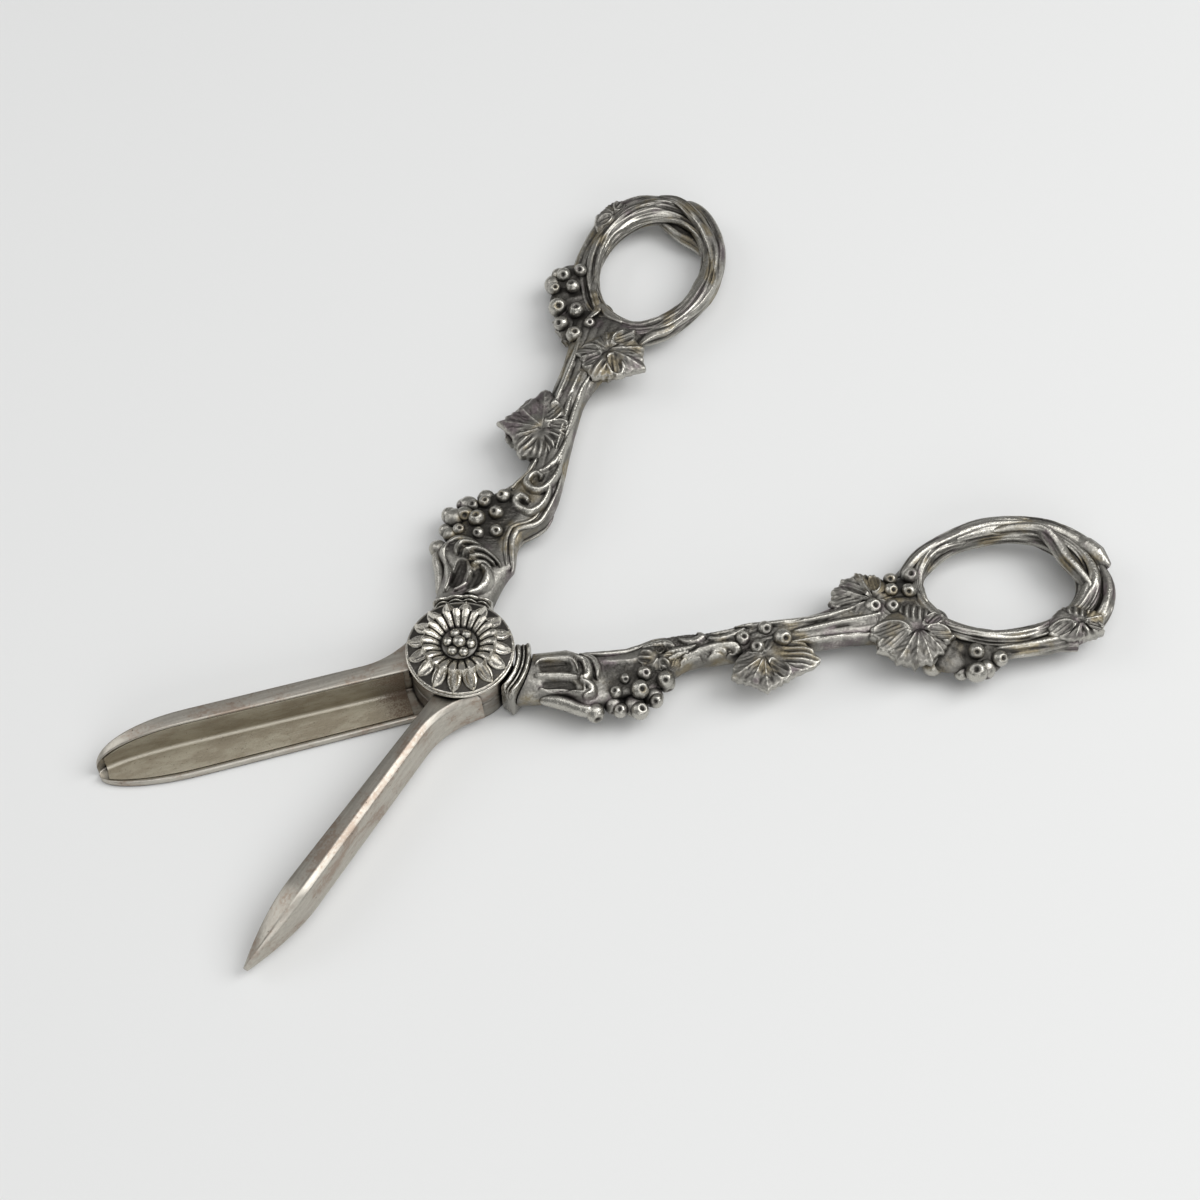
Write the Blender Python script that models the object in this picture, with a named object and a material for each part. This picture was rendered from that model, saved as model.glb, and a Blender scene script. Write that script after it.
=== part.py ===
"""Silver grape shears: two blades on a flower-headed rivet, with cast vine handles.

The frame has its origin on the pivot axis at the back of the shears, +Z up, and +X along
the line midway between the two handles. Sizes are in millimetres until scaled by MM.
"""
import math

import bmesh
import bpy
import numpy as np
from mathutils import Matrix, Vector

MM = 0.001

# Pose in the photograph, as angles from +X about the pivot
BLADE_A_ANGLE = 158.3
BLADE_B_ANGLE = 199.6
HANDLE_ANGLE = 29.9

# Half-lap pivot
LAP_THICKNESS = 9.0
LAP_GAP = 0.3
LUG_RADIUS = 8.8
LUG_CLEARANCE = 0.4
SEAT_GAP = 0.15
ROUND_SIDES = 36
BALL_SIDES = 7
BALL_RINGS = 4

# Rivet, its burr at the back and its beaded head
RIVET_RADIUS = 2.4
RIVET_CLEARANCE = 0.06
RIVET_TAIL_RADIUS = 3.4
RIVET_TAIL_HEIGHT = 0.5
BURR_RADIUS = 4.4
BURR_HEIGHT = 0.6
BURR_CLEARANCE = 0.2
HEAD_RADIUS = 3.1
HEAD_HEIGHT = 0.7
BEAD_COUNT = 6
BEAD_RADIUS = 0.95
BEAD_CIRCLE = 2.1
CENTRE_BEAD_RADIUS = 1.25

# Sunflower rosette on its plain seat disc
SEAT_RADIUS = 9.3
SEAT_HEIGHT = 0.6
SEAT_RIM = 0.2
ROSETTE_RADIUS = SEAT_RADIUS - SEAT_RIM
ROSETTE_RIM = 0.5
ROSETTE_CREST_RADIUS = 6.3
ROSETTE_CREST = 3.3
ROSETTE_CUP_RADIUS = 3.4
ROSETTE_CUP = 1.3
OUTER_PETALS = 16
INNER_PETALS = 24
OUTER_PETAL_DEPTH = 0.55
INNER_PETAL_DEPTH = 0.35
PETAL_SAMPLES = 4

# Gutter blade, with its wall on the far side and a lip along the near side
BLADE_LENGTH = 63.4
SHOULDER_REACH = 5.5
FLARE_LENGTH = 11.0
FLARE = 4.4
GUTTER_WALL_TOP = 7.7
GUTTER_FLOOR = 0.6
GUTTER_LIP_TOP = 1.35
GUTTER_LIP_WIDTH = 0.9
GUTTER_OUTER_ROOT = -2.9
GUTTER_OUTER_END = -4.3
GUTTER_FACE_ROOT = 0.2
GUTTER_FACE_END = -1.6
GUTTER_LIP_ROOT = 6.0
GUTTER_LIP_END = 4.8
GUTTER_TIP_START = 47.0
GUTTER_TIP_OFFSET = -0.5
GUTTER_TIP_HEIGHT = 2.4
TIP_HALF_WIDTH = 0.6
LINER_THICKNESS = 0.4
LINER_START = 10.2
LINER_END = 62.0
LINER_REBATE = 0.5

# Nesting blade
NEST_BOTTOM = 1.7
NEST_RIDGE_TOP = 8.6
NEST_EDGE_TOP = 7.9
NEST_INNER_TOP = 7.7
NEST_INNER_ROOT = 0.3
NEST_INNER_END = -1.0
NEST_OUTER = 3.2
NEST_DRAFT = 0.45
NEST_RIDGE_INSET = 1.1
NEST_TIP_START = 49.0
NEST_TIP_OFFSET = 0.1
NEST_TIP_HEIGHT = 3.2
NEST_TIP_HALF_WIDTH = 0.4
NEST_TIP_POWER = 1.7

# Tang of each blade in the socket of its handle, in the handle's own frame
TANG_WIDTH = 5.0
TANG_THICKNESS = 2.0
TANG_OFFSET = 3.9
TANG_RISE = 0.45
TANG_START = 6.0
TANG_END = 18.0
TANG_CLEARANCE = 0.15

# Moulded collar, concentric with the pivot
COLLAR_CLEARANCE = 0.55
COLLAR_WIDTH = 2.65
COLLAR_INNER = LUG_RADIUS + COLLAR_CLEARANCE
COLLAR_OUTER = COLLAR_INNER + COLLAR_WIDTH
COLLAR_FROM = -5.0
COLLAR_TO = 47.0
COLLAR_HALF_HEIGHT = 3.9
COLLAR_BEAD = 0.45
COLLAR_STEPS = 9

# Handle ground: distance from the pivot, inner edge, outer edge, half thickness
HANDLE_GROUND = (
    (6.0, -0.7, 9.4, 3.6),
    (13.0, -0.6, 9.0, 3.5),
    (16.5, -0.6, 10.2, 3.3),
    (19.5, -0.9, 12.8, 3.0),
    (22.0, -1.5, 12.3, 2.3),
    (26.5, -1.7, 11.4, 2.1),
    (30.5, -2.3, 11.2, 2.1),
    (33.5, -3.1, 9.6, 2.2),
    (37.0, -3.3, 6.6, 2.4),
    (41.0, -2.8, 4.9, 2.5),
    (48.0, -1.5, 5.2, 2.5),
    (55.0, -0.4, 6.2, 2.4),
    (61.0, 0.2, 7.0, 2.4),
    (67.0, -0.8, 7.3, 2.5),
    (73.0, -2.4, 8.2, 2.6),
    (78.0, -4.2, 9.8, 2.6),
    (83.0, -6.5, 11.0, 2.2),
)
# Waist of each casting: distance from the pivot, shift of the inner edge towards the outer one
WAIST_A = (
    (18.0, 0.0), (20.5, 3.4), (28.0, 4.6), (34.0, 4.4), (42.0, 4.0), (50.0, 2.0), (60.0, 0.8), (66.0, 0.0),
)
WAIST_B = ((21.0, 0.0), (23.5, 0.9), (26.0, 1.7), (28.5, 1.8), (30.5, 0.4), (32.0, 0.0))
WAIST_LIMIT = 8.0
WAIST_SPAN = 10.0
GROUND_RINGS = 22
GROUND_SIDES = 10
GROUND_SQUARENESS = 0.62

# Finger ring: an oval twig loop with a second twig round its far end
RING_CENTRE = 95.9
RING_HALF_LENGTH = 15.9
RING_HALF_WIDTH = 11.4
RING_TWIG = 2.55
RING_KNOT = 0.11
RING_STEPS = 32
TWIG_SIDES = 8
TWIG_END = 0.55
FAR_TWIG = 2.15
FAR_TWIG_STEPS = 14
FAR_TWIG_PATH = (
    (97.0, -11.6, 0.4),
    (106.0, -11.0, 0.7),
    (112.2, -6.6, 0.4),
    (115.4, -0.6, 0.0),
    (113.2, 5.4, 0.0),
    (107.2, 11.0, 0.3),
    (100.0, 12.4, 0.6),
)
SIDE_STUB_PATH = ((101.5, 12.0, 0.4), (104.2, 13.4, 0.2), (106.6, 14.2, 0.0))
SIDE_STUB = 1.3

# Leaves: distance, offset, heading of the tip in degrees, length, middle height, half thickness
LEAVES = (
    (53.6, 7.2, 112.0, 7.4, 0.0, 3.1),
    (69.9, -1.9, -98.0, 7.0, 0.0, 3.2),
    (80.6, 7.4, 62.0, 6.6, -2.2, 1.3),
    (109.0, 10.0, 20.0, 4.4, -1.8, 1.2),
)
LEAF_LOBES = ((0.0, 1.0), (62.0, 0.86), (-62.0, 0.86), (122.0, 0.70), (-122.0, 0.70))
LEAF_LOBE_SPREAD = 46.0
LEAF_WAIST = 0.52
LEAF_RIM = 0.6
LEAF_SHOULDER = 0.5
LEAF_SHOULDER_RISE = 0.8
LEAF_POINTS = 24

# Grapes: distance, offset, height above the middle plane, radius
GRAPES = (
    (24.0, 11.9, 0.0, 1.9),
    (27.7, 12.7, 0.0, 2.0),
    (31.2, 11.6, 0.0, 1.9),
    (33.9, 9.2, 0.0, 1.6),
    (25.2, 9.0, 1.9, 1.5),
    (28.7, 9.9, 1.9, 1.6),
    (31.4, 8.4, 1.9, 1.4),
    (27.2, 6.6, 1.9, 1.4),
    (24.6, 9.6, -1.9, 1.7),
    (28.3, 9.6, -1.9, 1.8),
    (31.6, 8.2, -1.9, 1.6),
    (26.6, 6.4, -1.9, 1.3),
    (77.6, 12.2, 0.0, 1.8),
    (80.6, 13.6, 0.0, 1.9),
    (83.6, 14.0, 0.0, 1.9),
    (86.4, 16.2, 0.0, 1.9),
    (88.6, 17.4, 0.0, 2.2),
    (91.0, 15.6, 0.0, 1.9),
    (79.2, 10.2, 1.8, 1.6),
    (82.4, 10.8, 1.8, 1.7),
    (86.8, 13.4, 2.5, 1.9),
    (88.0, 14.2, -2.5, 1.9),
    (73.6, 0.6, -2.4, 1.5),
    (76.4, 2.2, -2.4, 1.5),
    (75.8, -1.2, -2.4, 1.5),
    (78.6, 0.4, -2.4, 1.5),
    (48.6, 3.6, -2.2, 1.5),
    (52.6, 2.2, -2.2, 1.5),
    (50.8, 5.4, -2.2, 1.5),
)

# Raised strands: radius, then points as distance, offset and height
STRANDS = (
    (0.75, ((13.4, 7.6, 3.0), (16.4, 8.8, 3.0), (19.0, 11.4, 2.6), (20.6, 12.8, 1.6))),
    (0.70, ((13.4, 5.0, 3.4), (16.6, 6.2, 3.3), (19.4, 8.6, 2.7), (21.2, 10.6, 2.0))),
    (0.70, ((13.4, 2.4, 3.4), (16.8, 3.4, 3.3), (20.0, 5.6, 2.6), (22.2, 8.0, 2.0))),
    (0.75, ((13.4, 0.2, 3.0), (17.0, 0.4, 2.9), (20.6, 2.4, 2.4), (23.0, 5.0, 1.9))),
    (0.75, ((13.4, 8.0, -3.0), (17.0, 9.0, -3.0), (20.4, 12.2, -2.2))),
    (0.75, ((13.4, 0.6, -3.0), (17.0, 0.6, -3.0), (20.4, 0.0, -2.4), (22.0, -1.2, -1.6))),
    (0.85, ((22.4, -1.4, 1.4), (27.0, -1.0, 1.9), (32.0, -1.8, 1.9), (37.0, -2.2, 2.0))),
    (0.80, ((39.0, 3.6, 2.0), (37.4, 5.4, 1.9), (35.2, 5.0, 1.8), (34.8, 3.0, 1.9))),
    (0.80, ((42.0, 2.4, 2.2), (40.4, 0.6, 2.3), (38.4, 0.6, 2.3), (38.2, 2.0, 2.3))),
    (0.85, ((42.0, 2.4, 2.2), (48.0, 3.4, 2.2), (58.0, 4.6, 2.1), (68.0, 4.8, 2.3))),
    (0.85, ((24.0, 0.6, -1.9), (32.0, 0.2, -2.0), (40.0, -0.8, -2.3), (48.0, 0.4, -2.3))),
    (0.90, ((66.0, 3.6, 2.2), (74.0, 2.6, 2.4), (80.0, 0.8, 2.0), (85.0, -6.4, 1.4))),
)
STRAND_STEPS = 6
STRAND_SIDES = 5

# Ground under the grapes beside the ring: distance, offset, radius, half thickness
PADS = ((83.6, 11.6, 4.4, 2.0), (88.2, 13.4, 4.2, 2.0))

# Scroll knobs at the foot of the cartouche: distance, offset, radius
KNOBS = ((20.6, 12.9, 1.5), (21.0, -1.6, 1.3))

# Colours of the metals as seen: colour, roughness
SILVER = ((0.62, 0.59, 0.53), 0.32)
DARK_SILVER = ((0.36, 0.34, 0.31), 0.42)
BLADE_SILVER = ((0.56, 0.52, 0.45), 0.38)
OLD_STEEL = ((0.33, 0.30, 0.22), 0.55)
BRASS_METAL = ((0.45, 0.36, 0.20), 0.45)

LAP_PLANE = LAP_THICKNESS / 2
LOWER_LUG_TOP = LAP_PLANE - LAP_GAP / 2
UPPER_LUG_BOTTOM = LAP_PLANE + LAP_GAP / 2
SHOULDER_RADIUS = LUG_RADIUS + LUG_CLEARANCE
CUT_MARGIN = 5.0


def clear_scene():
    """Remove what the scene holds."""
    for obj in list(bpy.data.objects):
        bpy.data.objects.remove(obj, do_unlink=True)


def metal(name, finish):
    """Make a plain metal of one colour and roughness."""
    colour, roughness = finish
    material = bpy.data.materials.new(name)
    material.use_nodes = True
    shader = material.node_tree.nodes["Principled BSDF"]
    shader.inputs["Base Color"].default_value = (*colour, 1.0)
    shader.inputs["Metallic"].default_value = 1.0
    shader.inputs["Roughness"].default_value = roughness
    return material


def object_from(name, bm):
    """Turn a bmesh in millimetres into an object in metres with its faces pointing out."""
    bmesh.ops.recalc_face_normals(bm, faces=bm.faces)
    bmesh.ops.scale(bm, vec=(MM, MM, MM), verts=bm.verts)
    mesh = bpy.data.meshes.new(name)
    bm.to_mesh(mesh)
    bm.free()
    obj = bpy.data.objects.new(name, mesh)
    bpy.context.scene.collection.objects.link(obj)
    return obj


def loft(name, rings, closed=False):
    """Skin a list of equal rings, capping both ends or joining the last to the first."""
    bm = bmesh.new()
    loops = [[bm.verts.new(point) for point in ring] for ring in rings]
    pairs = list(zip(loops, loops[1:]))
    if closed:
        pairs.append((loops[-1], loops[0]))
    for near, far in pairs:
        for i in range(len(near)):
            j = (i + 1) % len(near)
            bm.faces.new((near[i], near[j], far[j], far[i]))
    if not closed:
        bm.faces.new(loops[0])
        bm.faces.new(loops[-1])
    return object_from(name, bm)


def disc(name, radius, bottom, top):
    """A round plate on the pivot axis."""
    angles = [2 * math.pi * i / ROUND_SIDES for i in range(ROUND_SIDES)]
    ring = [(radius * math.cos(a), radius * math.sin(a)) for a in angles]
    return loft(name, [[(x, y, z) for x, y in ring] for z in (bottom, top)])


def ball(name, centre, radius):
    """A low faceted sphere."""
    bm = bmesh.new()
    bmesh.ops.create_uvsphere(bm, u_segments=BALL_SIDES, v_segments=BALL_RINGS, radius=radius)
    bmesh.ops.translate(bm, vec=centre, verts=bm.verts)
    return object_from(name, bm)


def pad(name, s, t, radius, half):
    """A flattened round swelling in the middle plane of the handle."""
    obj = ball(name, (0.0, 0.0, 0.0), radius)
    place = Matrix.Translation((s * MM, t * MM, 0.0)) @ Matrix.Diagonal((1.0, 1.0, half / radius, 1.0))
    obj.data.transform(place)
    return obj


def box(name, low, high):
    """A rectangular block between two corners."""
    rings = []
    for x in (low[0], high[0]):
        rings.append([(x, low[1], low[2]), (x, high[1], low[2]), (x, high[1], high[2]), (x, low[1], high[2])])
    return loft(name, rings)


def smooth_through(points, count):
    """Points spaced along a Catmull-Rom curve through the given ones."""
    knots = np.array(points, dtype=float)
    ends = np.vstack((2 * knots[0] - knots[1], knots, 2 * knots[-1] - knots[-2]))
    result = []
    for u in np.linspace(0, len(knots) - 1, count):
        i = min(int(u), len(knots) - 2)
        t = u - i
        p0, p1, p2, p3 = ends[i:i + 4]
        bend = (2 * p0 - 5 * p1 + 4 * p2 - p3) * t * t + (3 * p1 - p0 - 3 * p2 + p3) * t ** 3
        result.append((2 * p1 + (p2 - p0) * t + bend) / 2)
    return np.array(result)


def tube_rings(path, radii, sides, closed=False):
    """Round rings square to a path that never runs straight up."""
    count = len(path)
    rings = []
    for i in range(count):
        before = path[i - 1] if closed or i else path[i]
        after = path[(i + 1) % count] if closed or i < count - 1 else path[i]
        along = Vector(after - before).normalized()
        across = along.cross(Vector((0, 0, 1))).normalized()
        up = across.cross(along)
        ring = []
        for k in range(sides):
            angle = 2 * math.pi * k / sides
            offset = (across * math.cos(angle) + up * math.sin(angle)) * radii[i]
            ring.append(Vector(path[i]) + offset)
        rings.append(ring)
    return rings


def evaluated_mesh(obj):
    """The mesh of an object with its modifiers applied."""
    depsgraph = bpy.context.evaluated_depsgraph_get()
    return bpy.data.meshes.new_from_object(obj.evaluated_get(depsgraph))


def combine(base, others, operation):
    """Join other bodies to a base or cut them from it, and remove them."""
    group = bpy.data.collections.new("operands")
    bpy.context.scene.collection.children.link(group)
    for other in others:
        group.objects.link(other)
    modifier = base.modifiers.new("combine", "BOOLEAN")
    modifier.operand_type = "COLLECTION"
    modifier.collection = group
    modifier.operation = operation
    modifier.solver = "EXACT"
    mesh = evaluated_mesh(base)
    base.modifiers.clear()
    base.data = mesh
    for other in others:
        bpy.data.objects.remove(other, do_unlink=True)
    bpy.data.collections.remove(group)
    return base


def fuse(base, others):
    """Unite bodies into one."""
    return combine(base, others, "UNION")


def cut(base, *cutters):
    """Take each cutter out of a body in turn."""
    for cutter in cutters:
        combine(base, [cutter], "DIFFERENCE")
    return base


def finish(obj, material, parent, rotation=(0.0, 0.0, 0.0), height=0.0):
    """Give a piece its metal and shading, and place it on its half of the shears."""
    obj.data.materials.clear()
    obj.data.materials.append(material)
    obj.data.shade_smooth()
    obj.data.set_sharp_from_angle(angle=math.radians(35))
    obj.parent = parent
    obj.rotation_euler = rotation
    obj.location = (0.0, 0.0, height * MM)
    return obj


def half_frame(name):
    """An empty on the pivot axis that carries one half of the shears."""
    empty = bpy.data.objects.new(name, None)
    bpy.context.scene.collection.objects.link(empty)
    return empty


def flare(s):
    """Outward sweep of a blade's root up to its shoulder."""
    reach = max(0.0, SHOULDER_REACH + FLARE_LENGTH - s) / FLARE_LENGTH
    return FLARE * reach * reach


def tip_share(s, start):
    """How far a blade's edge has run from straight, 0, to its point, 1, along an ellipse."""
    reach = min(1.0, max(0.0, s - start) / (BLADE_LENGTH - start))
    return 1.0 - math.sqrt(1.0 - reach * reach)


def point_share(s):
    """How far the nesting blade's edges have run to its sharp point, along a power of the distance."""
    reach = max(0.0, s - NEST_TIP_START) / (BLADE_LENGTH - NEST_TIP_START)
    return reach ** NEST_TIP_POWER


def along_blade(root, end, s, start):
    """A straight taper from the shoulder to where the point begins."""
    return root + (end - root) * (s - SHOULDER_REACH) / (start - SHOULDER_REACH)


def toward(value, point, share):
    """Move a value toward its place at the point of the blade."""
    return value + (point - value) * share


def blade_stations(start):
    """Distances along a blade: close at the flare and at the point."""
    root = np.linspace(SHOULDER_REACH, SHOULDER_REACH + FLARE_LENGTH, 7)
    middle = np.linspace(SHOULDER_REACH + FLARE_LENGTH, start, 3)[1:]
    point = start + (BLADE_LENGTH - start) * np.sin(np.linspace(0, math.pi / 2, 9))[1:]
    return list(root) + list(middle) + list(point)


def gutter_edges(s):
    """Outer wall, gutter face, lip and wall top of the gutter blade at a distance."""
    share = tip_share(s, GUTTER_TIP_START)
    outer = along_blade(GUTTER_OUTER_ROOT, GUTTER_OUTER_END, s, GUTTER_TIP_START) - flare(s)
    face = along_blade(GUTTER_FACE_ROOT, GUTTER_FACE_END, s, GUTTER_TIP_START)
    lip = along_blade(GUTTER_LIP_ROOT, GUTTER_LIP_END, s, GUTTER_TIP_START)
    wall_inset = TIP_HALF_WIDTH / 3
    outer = toward(outer, GUTTER_TIP_OFFSET - TIP_HALF_WIDTH, share)
    face = toward(face, GUTTER_TIP_OFFSET - wall_inset, share)
    lip = toward(lip, GUTTER_TIP_OFFSET + TIP_HALF_WIDTH, share)
    top = toward(GUTTER_WALL_TOP, GUTTER_TIP_HEIGHT, share)
    return outer, face, lip, top


def gutter_section(s):
    """Wall, floor and lip of the gutter blade, square to its length."""
    outer, face, lip, top = gutter_edges(s)
    share = tip_share(s, GUTTER_TIP_START)
    lip_width = toward(GUTTER_LIP_WIDTH, TIP_HALF_WIDTH / 2, share)
    seat = LINER_THICKNESS + SEAT_GAP
    wall = face - toward(seat, 0.0, share)
    profile = (
        (outer, 0.0), (lip, 0.0), (lip, GUTTER_LIP_TOP), (lip - lip_width, GUTTER_LIP_TOP),
        (lip - lip_width, GUTTER_FLOOR), (wall, GUTTER_FLOOR), (wall, top - LINER_REBATE),
        (face, top - LINER_REBATE), (face, top), (outer, top),
    )
    return [(s, n, z) for n, z in profile]


def liner_section(s):
    """Bent steel sheet on the gutter's wall and floor."""
    _, face, lip, top = gutter_edges(s)
    share = tip_share(s, GUTTER_TIP_START)
    lip_width = toward(GUTTER_LIP_WIDTH, TIP_HALF_WIDTH / 2, share)
    back = face - toward(LINER_THICKNESS, 0.0, share)
    front = back + LINER_THICKNESS
    bottom = GUTTER_FLOOR + SEAT_GAP
    edge = lip - lip_width - SEAT_GAP
    rim = top - LINER_REBATE - SEAT_GAP
    profile = (
        (back, bottom), (edge, bottom), (edge, bottom + LINER_THICKNESS),
        (front, bottom + LINER_THICKNESS), (front, rim), (back, rim),
    )
    return [(s, n, z) for n, z in profile]


def nest_section(s):
    """Six-sided bar of the nesting blade, square to its length."""
    share = point_share(s)
    inner = along_blade(NEST_INNER_ROOT, NEST_INNER_END, s, NEST_TIP_START)
    inner = toward(inner, NEST_TIP_OFFSET - NEST_TIP_HALF_WIDTH, share)
    outer = toward(NEST_OUTER + flare(s), NEST_TIP_OFFSET + NEST_TIP_HALF_WIDTH, share)
    foot = outer + toward(NEST_DRAFT, 0.0, share)
    ridge = outer - toward(NEST_RIDGE_INSET, NEST_TIP_HALF_WIDTH, share)
    drop = toward(0.0, NEST_RIDGE_TOP - NEST_TIP_HEIGHT, share)
    profile = (
        (inner, NEST_BOTTOM), (foot, NEST_BOTTOM), (outer, NEST_EDGE_TOP - drop),
        (ridge, NEST_RIDGE_TOP - drop), (inner, NEST_INNER_TOP - drop),
    )
    return [(s, n, z) for n, z in profile]


def tang_block(name, clearance):
    """The tang, or with a clearance its socket, in the handle's own frame."""
    half = TANG_WIDTH / 2 + clearance
    low = (TANG_START, TANG_OFFSET - half, TANG_RISE - clearance)
    high = (TANG_END + clearance, TANG_OFFSET + half, TANG_RISE + TANG_THICKNESS + clearance)
    return box(name, low, high)


def handle_turn(flipped):
    """Turn of a handle: that of half A lies face down."""
    if flipped:
        return (math.pi, 0.0, -math.radians(HANDLE_ANGLE))
    return (0.0, 0.0, math.radians(HANDLE_ANGLE))


def tang_on_blade(blade_angle, flipped):
    """The tang turned from the handle's frame into its blade's frame."""
    tang = tang_block("tang", 0.0)
    turn_x, _, turn_z = handle_turn(flipped)
    place = Matrix.Rotation(-math.radians(blade_angle), 4, "Z")
    place = place @ Matrix.Translation((0.0, 0.0, LAP_PLANE * MM))
    place = place @ Matrix.Rotation(turn_z, 4, "Z") @ Matrix.Rotation(turn_x, 4, "X")
    tang.data.transform(place)
    return tang


def make_blade_a(parent, material):
    """Gutter blade, lower lug and tang in one forging."""
    body = loft("blade_a", [gutter_section(s) for s in blade_stations(GUTTER_TIP_START)])
    cut(body, disc("lap_room", SHOULDER_RADIUS, LOWER_LUG_TOP, LAP_THICKNESS + CUT_MARGIN))
    lug = disc("lug", LUG_RADIUS, 0.0, LOWER_LUG_TOP)
    fuse(body, [lug, tang_on_blade(BLADE_A_ANGLE, True)])
    recess = RIVET_TAIL_HEIGHT + 2 * SEAT_GAP + BURR_HEIGHT
    cut(
        body,
        disc("bore", RIVET_RADIUS + RIVET_CLEARANCE, -CUT_MARGIN, LAP_THICKNESS),
        disc("burr_recess", BURR_RADIUS + BURR_CLEARANCE, -CUT_MARGIN, recess),
    )
    return finish(body, material, parent, (0.0, 0.0, math.radians(BLADE_A_ANGLE)))


def make_gutter_liner(parent, material):
    """Steel lining of the gutter."""
    stations = [s for s in blade_stations(GUTTER_TIP_START) if LINER_START < s < LINER_END]
    stations = [LINER_START] + stations + [LINER_END]
    liner = loft("gutter_liner", [liner_section(s) for s in stations])
    return finish(liner, material, parent, (0.0, 0.0, math.radians(BLADE_A_ANGLE)))


def make_blade_b(parent, material):
    """Nesting blade, upper lug and tang in one forging."""
    body = loft("blade_b", [nest_section(s) for s in blade_stations(NEST_TIP_START)])
    cut(body, disc("lap_room", SHOULDER_RADIUS, -CUT_MARGIN, UPPER_LUG_BOTTOM))
    lug = disc("lug", LUG_RADIUS, UPPER_LUG_BOTTOM, LAP_THICKNESS)
    fuse(body, [lug, tang_on_blade(BLADE_B_ANGLE, False)])
    cut(body, disc("bore", RIVET_RADIUS + RIVET_CLEARANCE, -CUT_MARGIN, LAP_THICKNESS + CUT_MARGIN))
    return finish(body, material, parent, (0.0, 0.0, math.radians(BLADE_B_ANGLE)))


def collar_profile():
    """Half section of the collar: a hollow between two rounded bands."""
    span = COLLAR_OUTER - COLLAR_INNER
    heights = (
        (0.0, 0.0), (0.12, COLLAR_BEAD), (0.30, COLLAR_BEAD), (0.42, 0.0), (0.58, -COLLAR_BEAD / 2),
        (0.70, 0.0), (0.82, COLLAR_BEAD / 2), (1.0, -COLLAR_BEAD / 2),
    )
    return [(COLLAR_INNER + span * share, COLLAR_HALF_HEIGHT + rise) for share, rise in heights]


def make_collar_mesh():
    """Collar swept round the pivot, with a slot for the tang."""
    upper = collar_profile()
    lower = [(radius, -height) for radius, height in reversed(upper)]
    rings = []
    for degrees in np.linspace(COLLAR_FROM, COLLAR_TO, COLLAR_STEPS):
        angle = math.radians(degrees)
        rings.append([(r * math.cos(angle), r * math.sin(angle), z) for r, z in upper + lower])
    return cut(loft("collar", rings), tang_block("slot", TANG_CLEARANCE))


def slim(s, t, waist):
    """Offset of a point after its casting's waist: full on the inner side, none on the outer one."""
    shift = np.interp(s, [row[0] for row in waist], [row[1] for row in waist])
    return t + shift * min(1.0, max(0.0, (WAIST_LIMIT - t) / WAIST_SPAN))


def ground_rings(waist):
    """Rounded rings of the handle's ground between its inner and outer edges."""
    rings = []
    for s, inner, outer, half in smooth_through(HANDLE_GROUND, GROUND_RINGS):
        inner = slim(s, inner, waist)
        middle = (inner + outer) / 2
        width = (outer - inner) / 2
        ring = []
        for k in range(GROUND_SIDES):
            angle = 2 * math.pi * (k + 0.5) / GROUND_SIDES
            c, d = math.cos(angle), math.sin(angle)
            t = middle + width * math.copysign(abs(c) ** GROUND_SQUARENESS, c)
            ring.append((s, t, half * math.copysign(abs(d) ** GROUND_SQUARENESS, d)))
        rings.append(ring)
    return rings


def finger_ring():
    """Oval loop of twig with slow swellings."""
    path = []
    radii = []
    for i in range(RING_STEPS):
        turn = 2 * math.pi * i / RING_STEPS
        s = RING_CENTRE + RING_HALF_LENGTH * math.cos(turn)
        t = RING_HALF_WIDTH * math.sin(turn)
        path.append((s, t, RING_KNOT * RING_TWIG * math.sin(2 * turn)))
        radii.append(RING_TWIG * (1 + RING_KNOT * math.cos(5 * turn)))
    return loft("ring", tube_rings(np.array(path), radii, TWIG_SIDES, closed=True), closed=True)


def twig(name, points, radius, steps, sides):
    """A twig through a few points, thinner at its ends."""
    path = smooth_through(points, steps)
    shares = np.linspace(0, 1, steps)
    radii = [radius * toward(TWIG_END, 1.0, math.sin(math.pi * share) ** 0.5) for share in shares]
    return loft(name, tube_rings(path, radii, sides))


def leaf_reach(angle):
    """Share of the leaf's length at an angle from its tip: five pointed lobes."""
    reach = LEAF_WAIST
    for lobe, length in LEAF_LOBES:
        off = abs((math.degrees(angle) - lobe + 180.0) % 360.0 - 180.0)
        rise = max(0.0, 1.0 - off / LEAF_LOBE_SPREAD)
        reach = max(reach, LEAF_WAIST + (length - LEAF_WAIST) * rise)
    return reach


def leaf(name, s, t, heading, length, middle, half):
    """A five-lobed vine leaf, domed on both faces down to a thin rim."""
    bm = bmesh.new()
    turn = math.radians(heading)
    shoulder = LEAF_RIM + (half - LEAF_RIM) * LEAF_SHOULDER_RISE
    levels = ((LEAF_SHOULDER, shoulder), (1.0, LEAF_RIM), (1.0, -LEAF_RIM), (LEAF_SHOULDER, -shoulder))
    crowns = [bm.verts.new((s, t, middle + side * half)) for side in (1, -1)]
    loops = []
    for share, height in levels:
        loop = []
        for i in range(LEAF_POINTS):
            angle = 2 * math.pi * i / LEAF_POINTS
            reach = length * leaf_reach(angle) * share
            x = s + reach * math.cos(turn + angle)
            y = t + reach * math.sin(turn + angle)
            loop.append(bm.verts.new((x, y, middle + height)))
        loops.append(loop)
    for i in range(LEAF_POINTS):
        j = (i + 1) % LEAF_POINTS
        bm.faces.new((crowns[0], loops[0][i], loops[0][j]))
        bm.faces.new((crowns[1], loops[-1][j], loops[-1][i]))
        for near, far in zip(loops, loops[1:]):
            bm.faces.new((near[i], far[i], far[j], near[j]))
    return object_from(name, bm)


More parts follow.
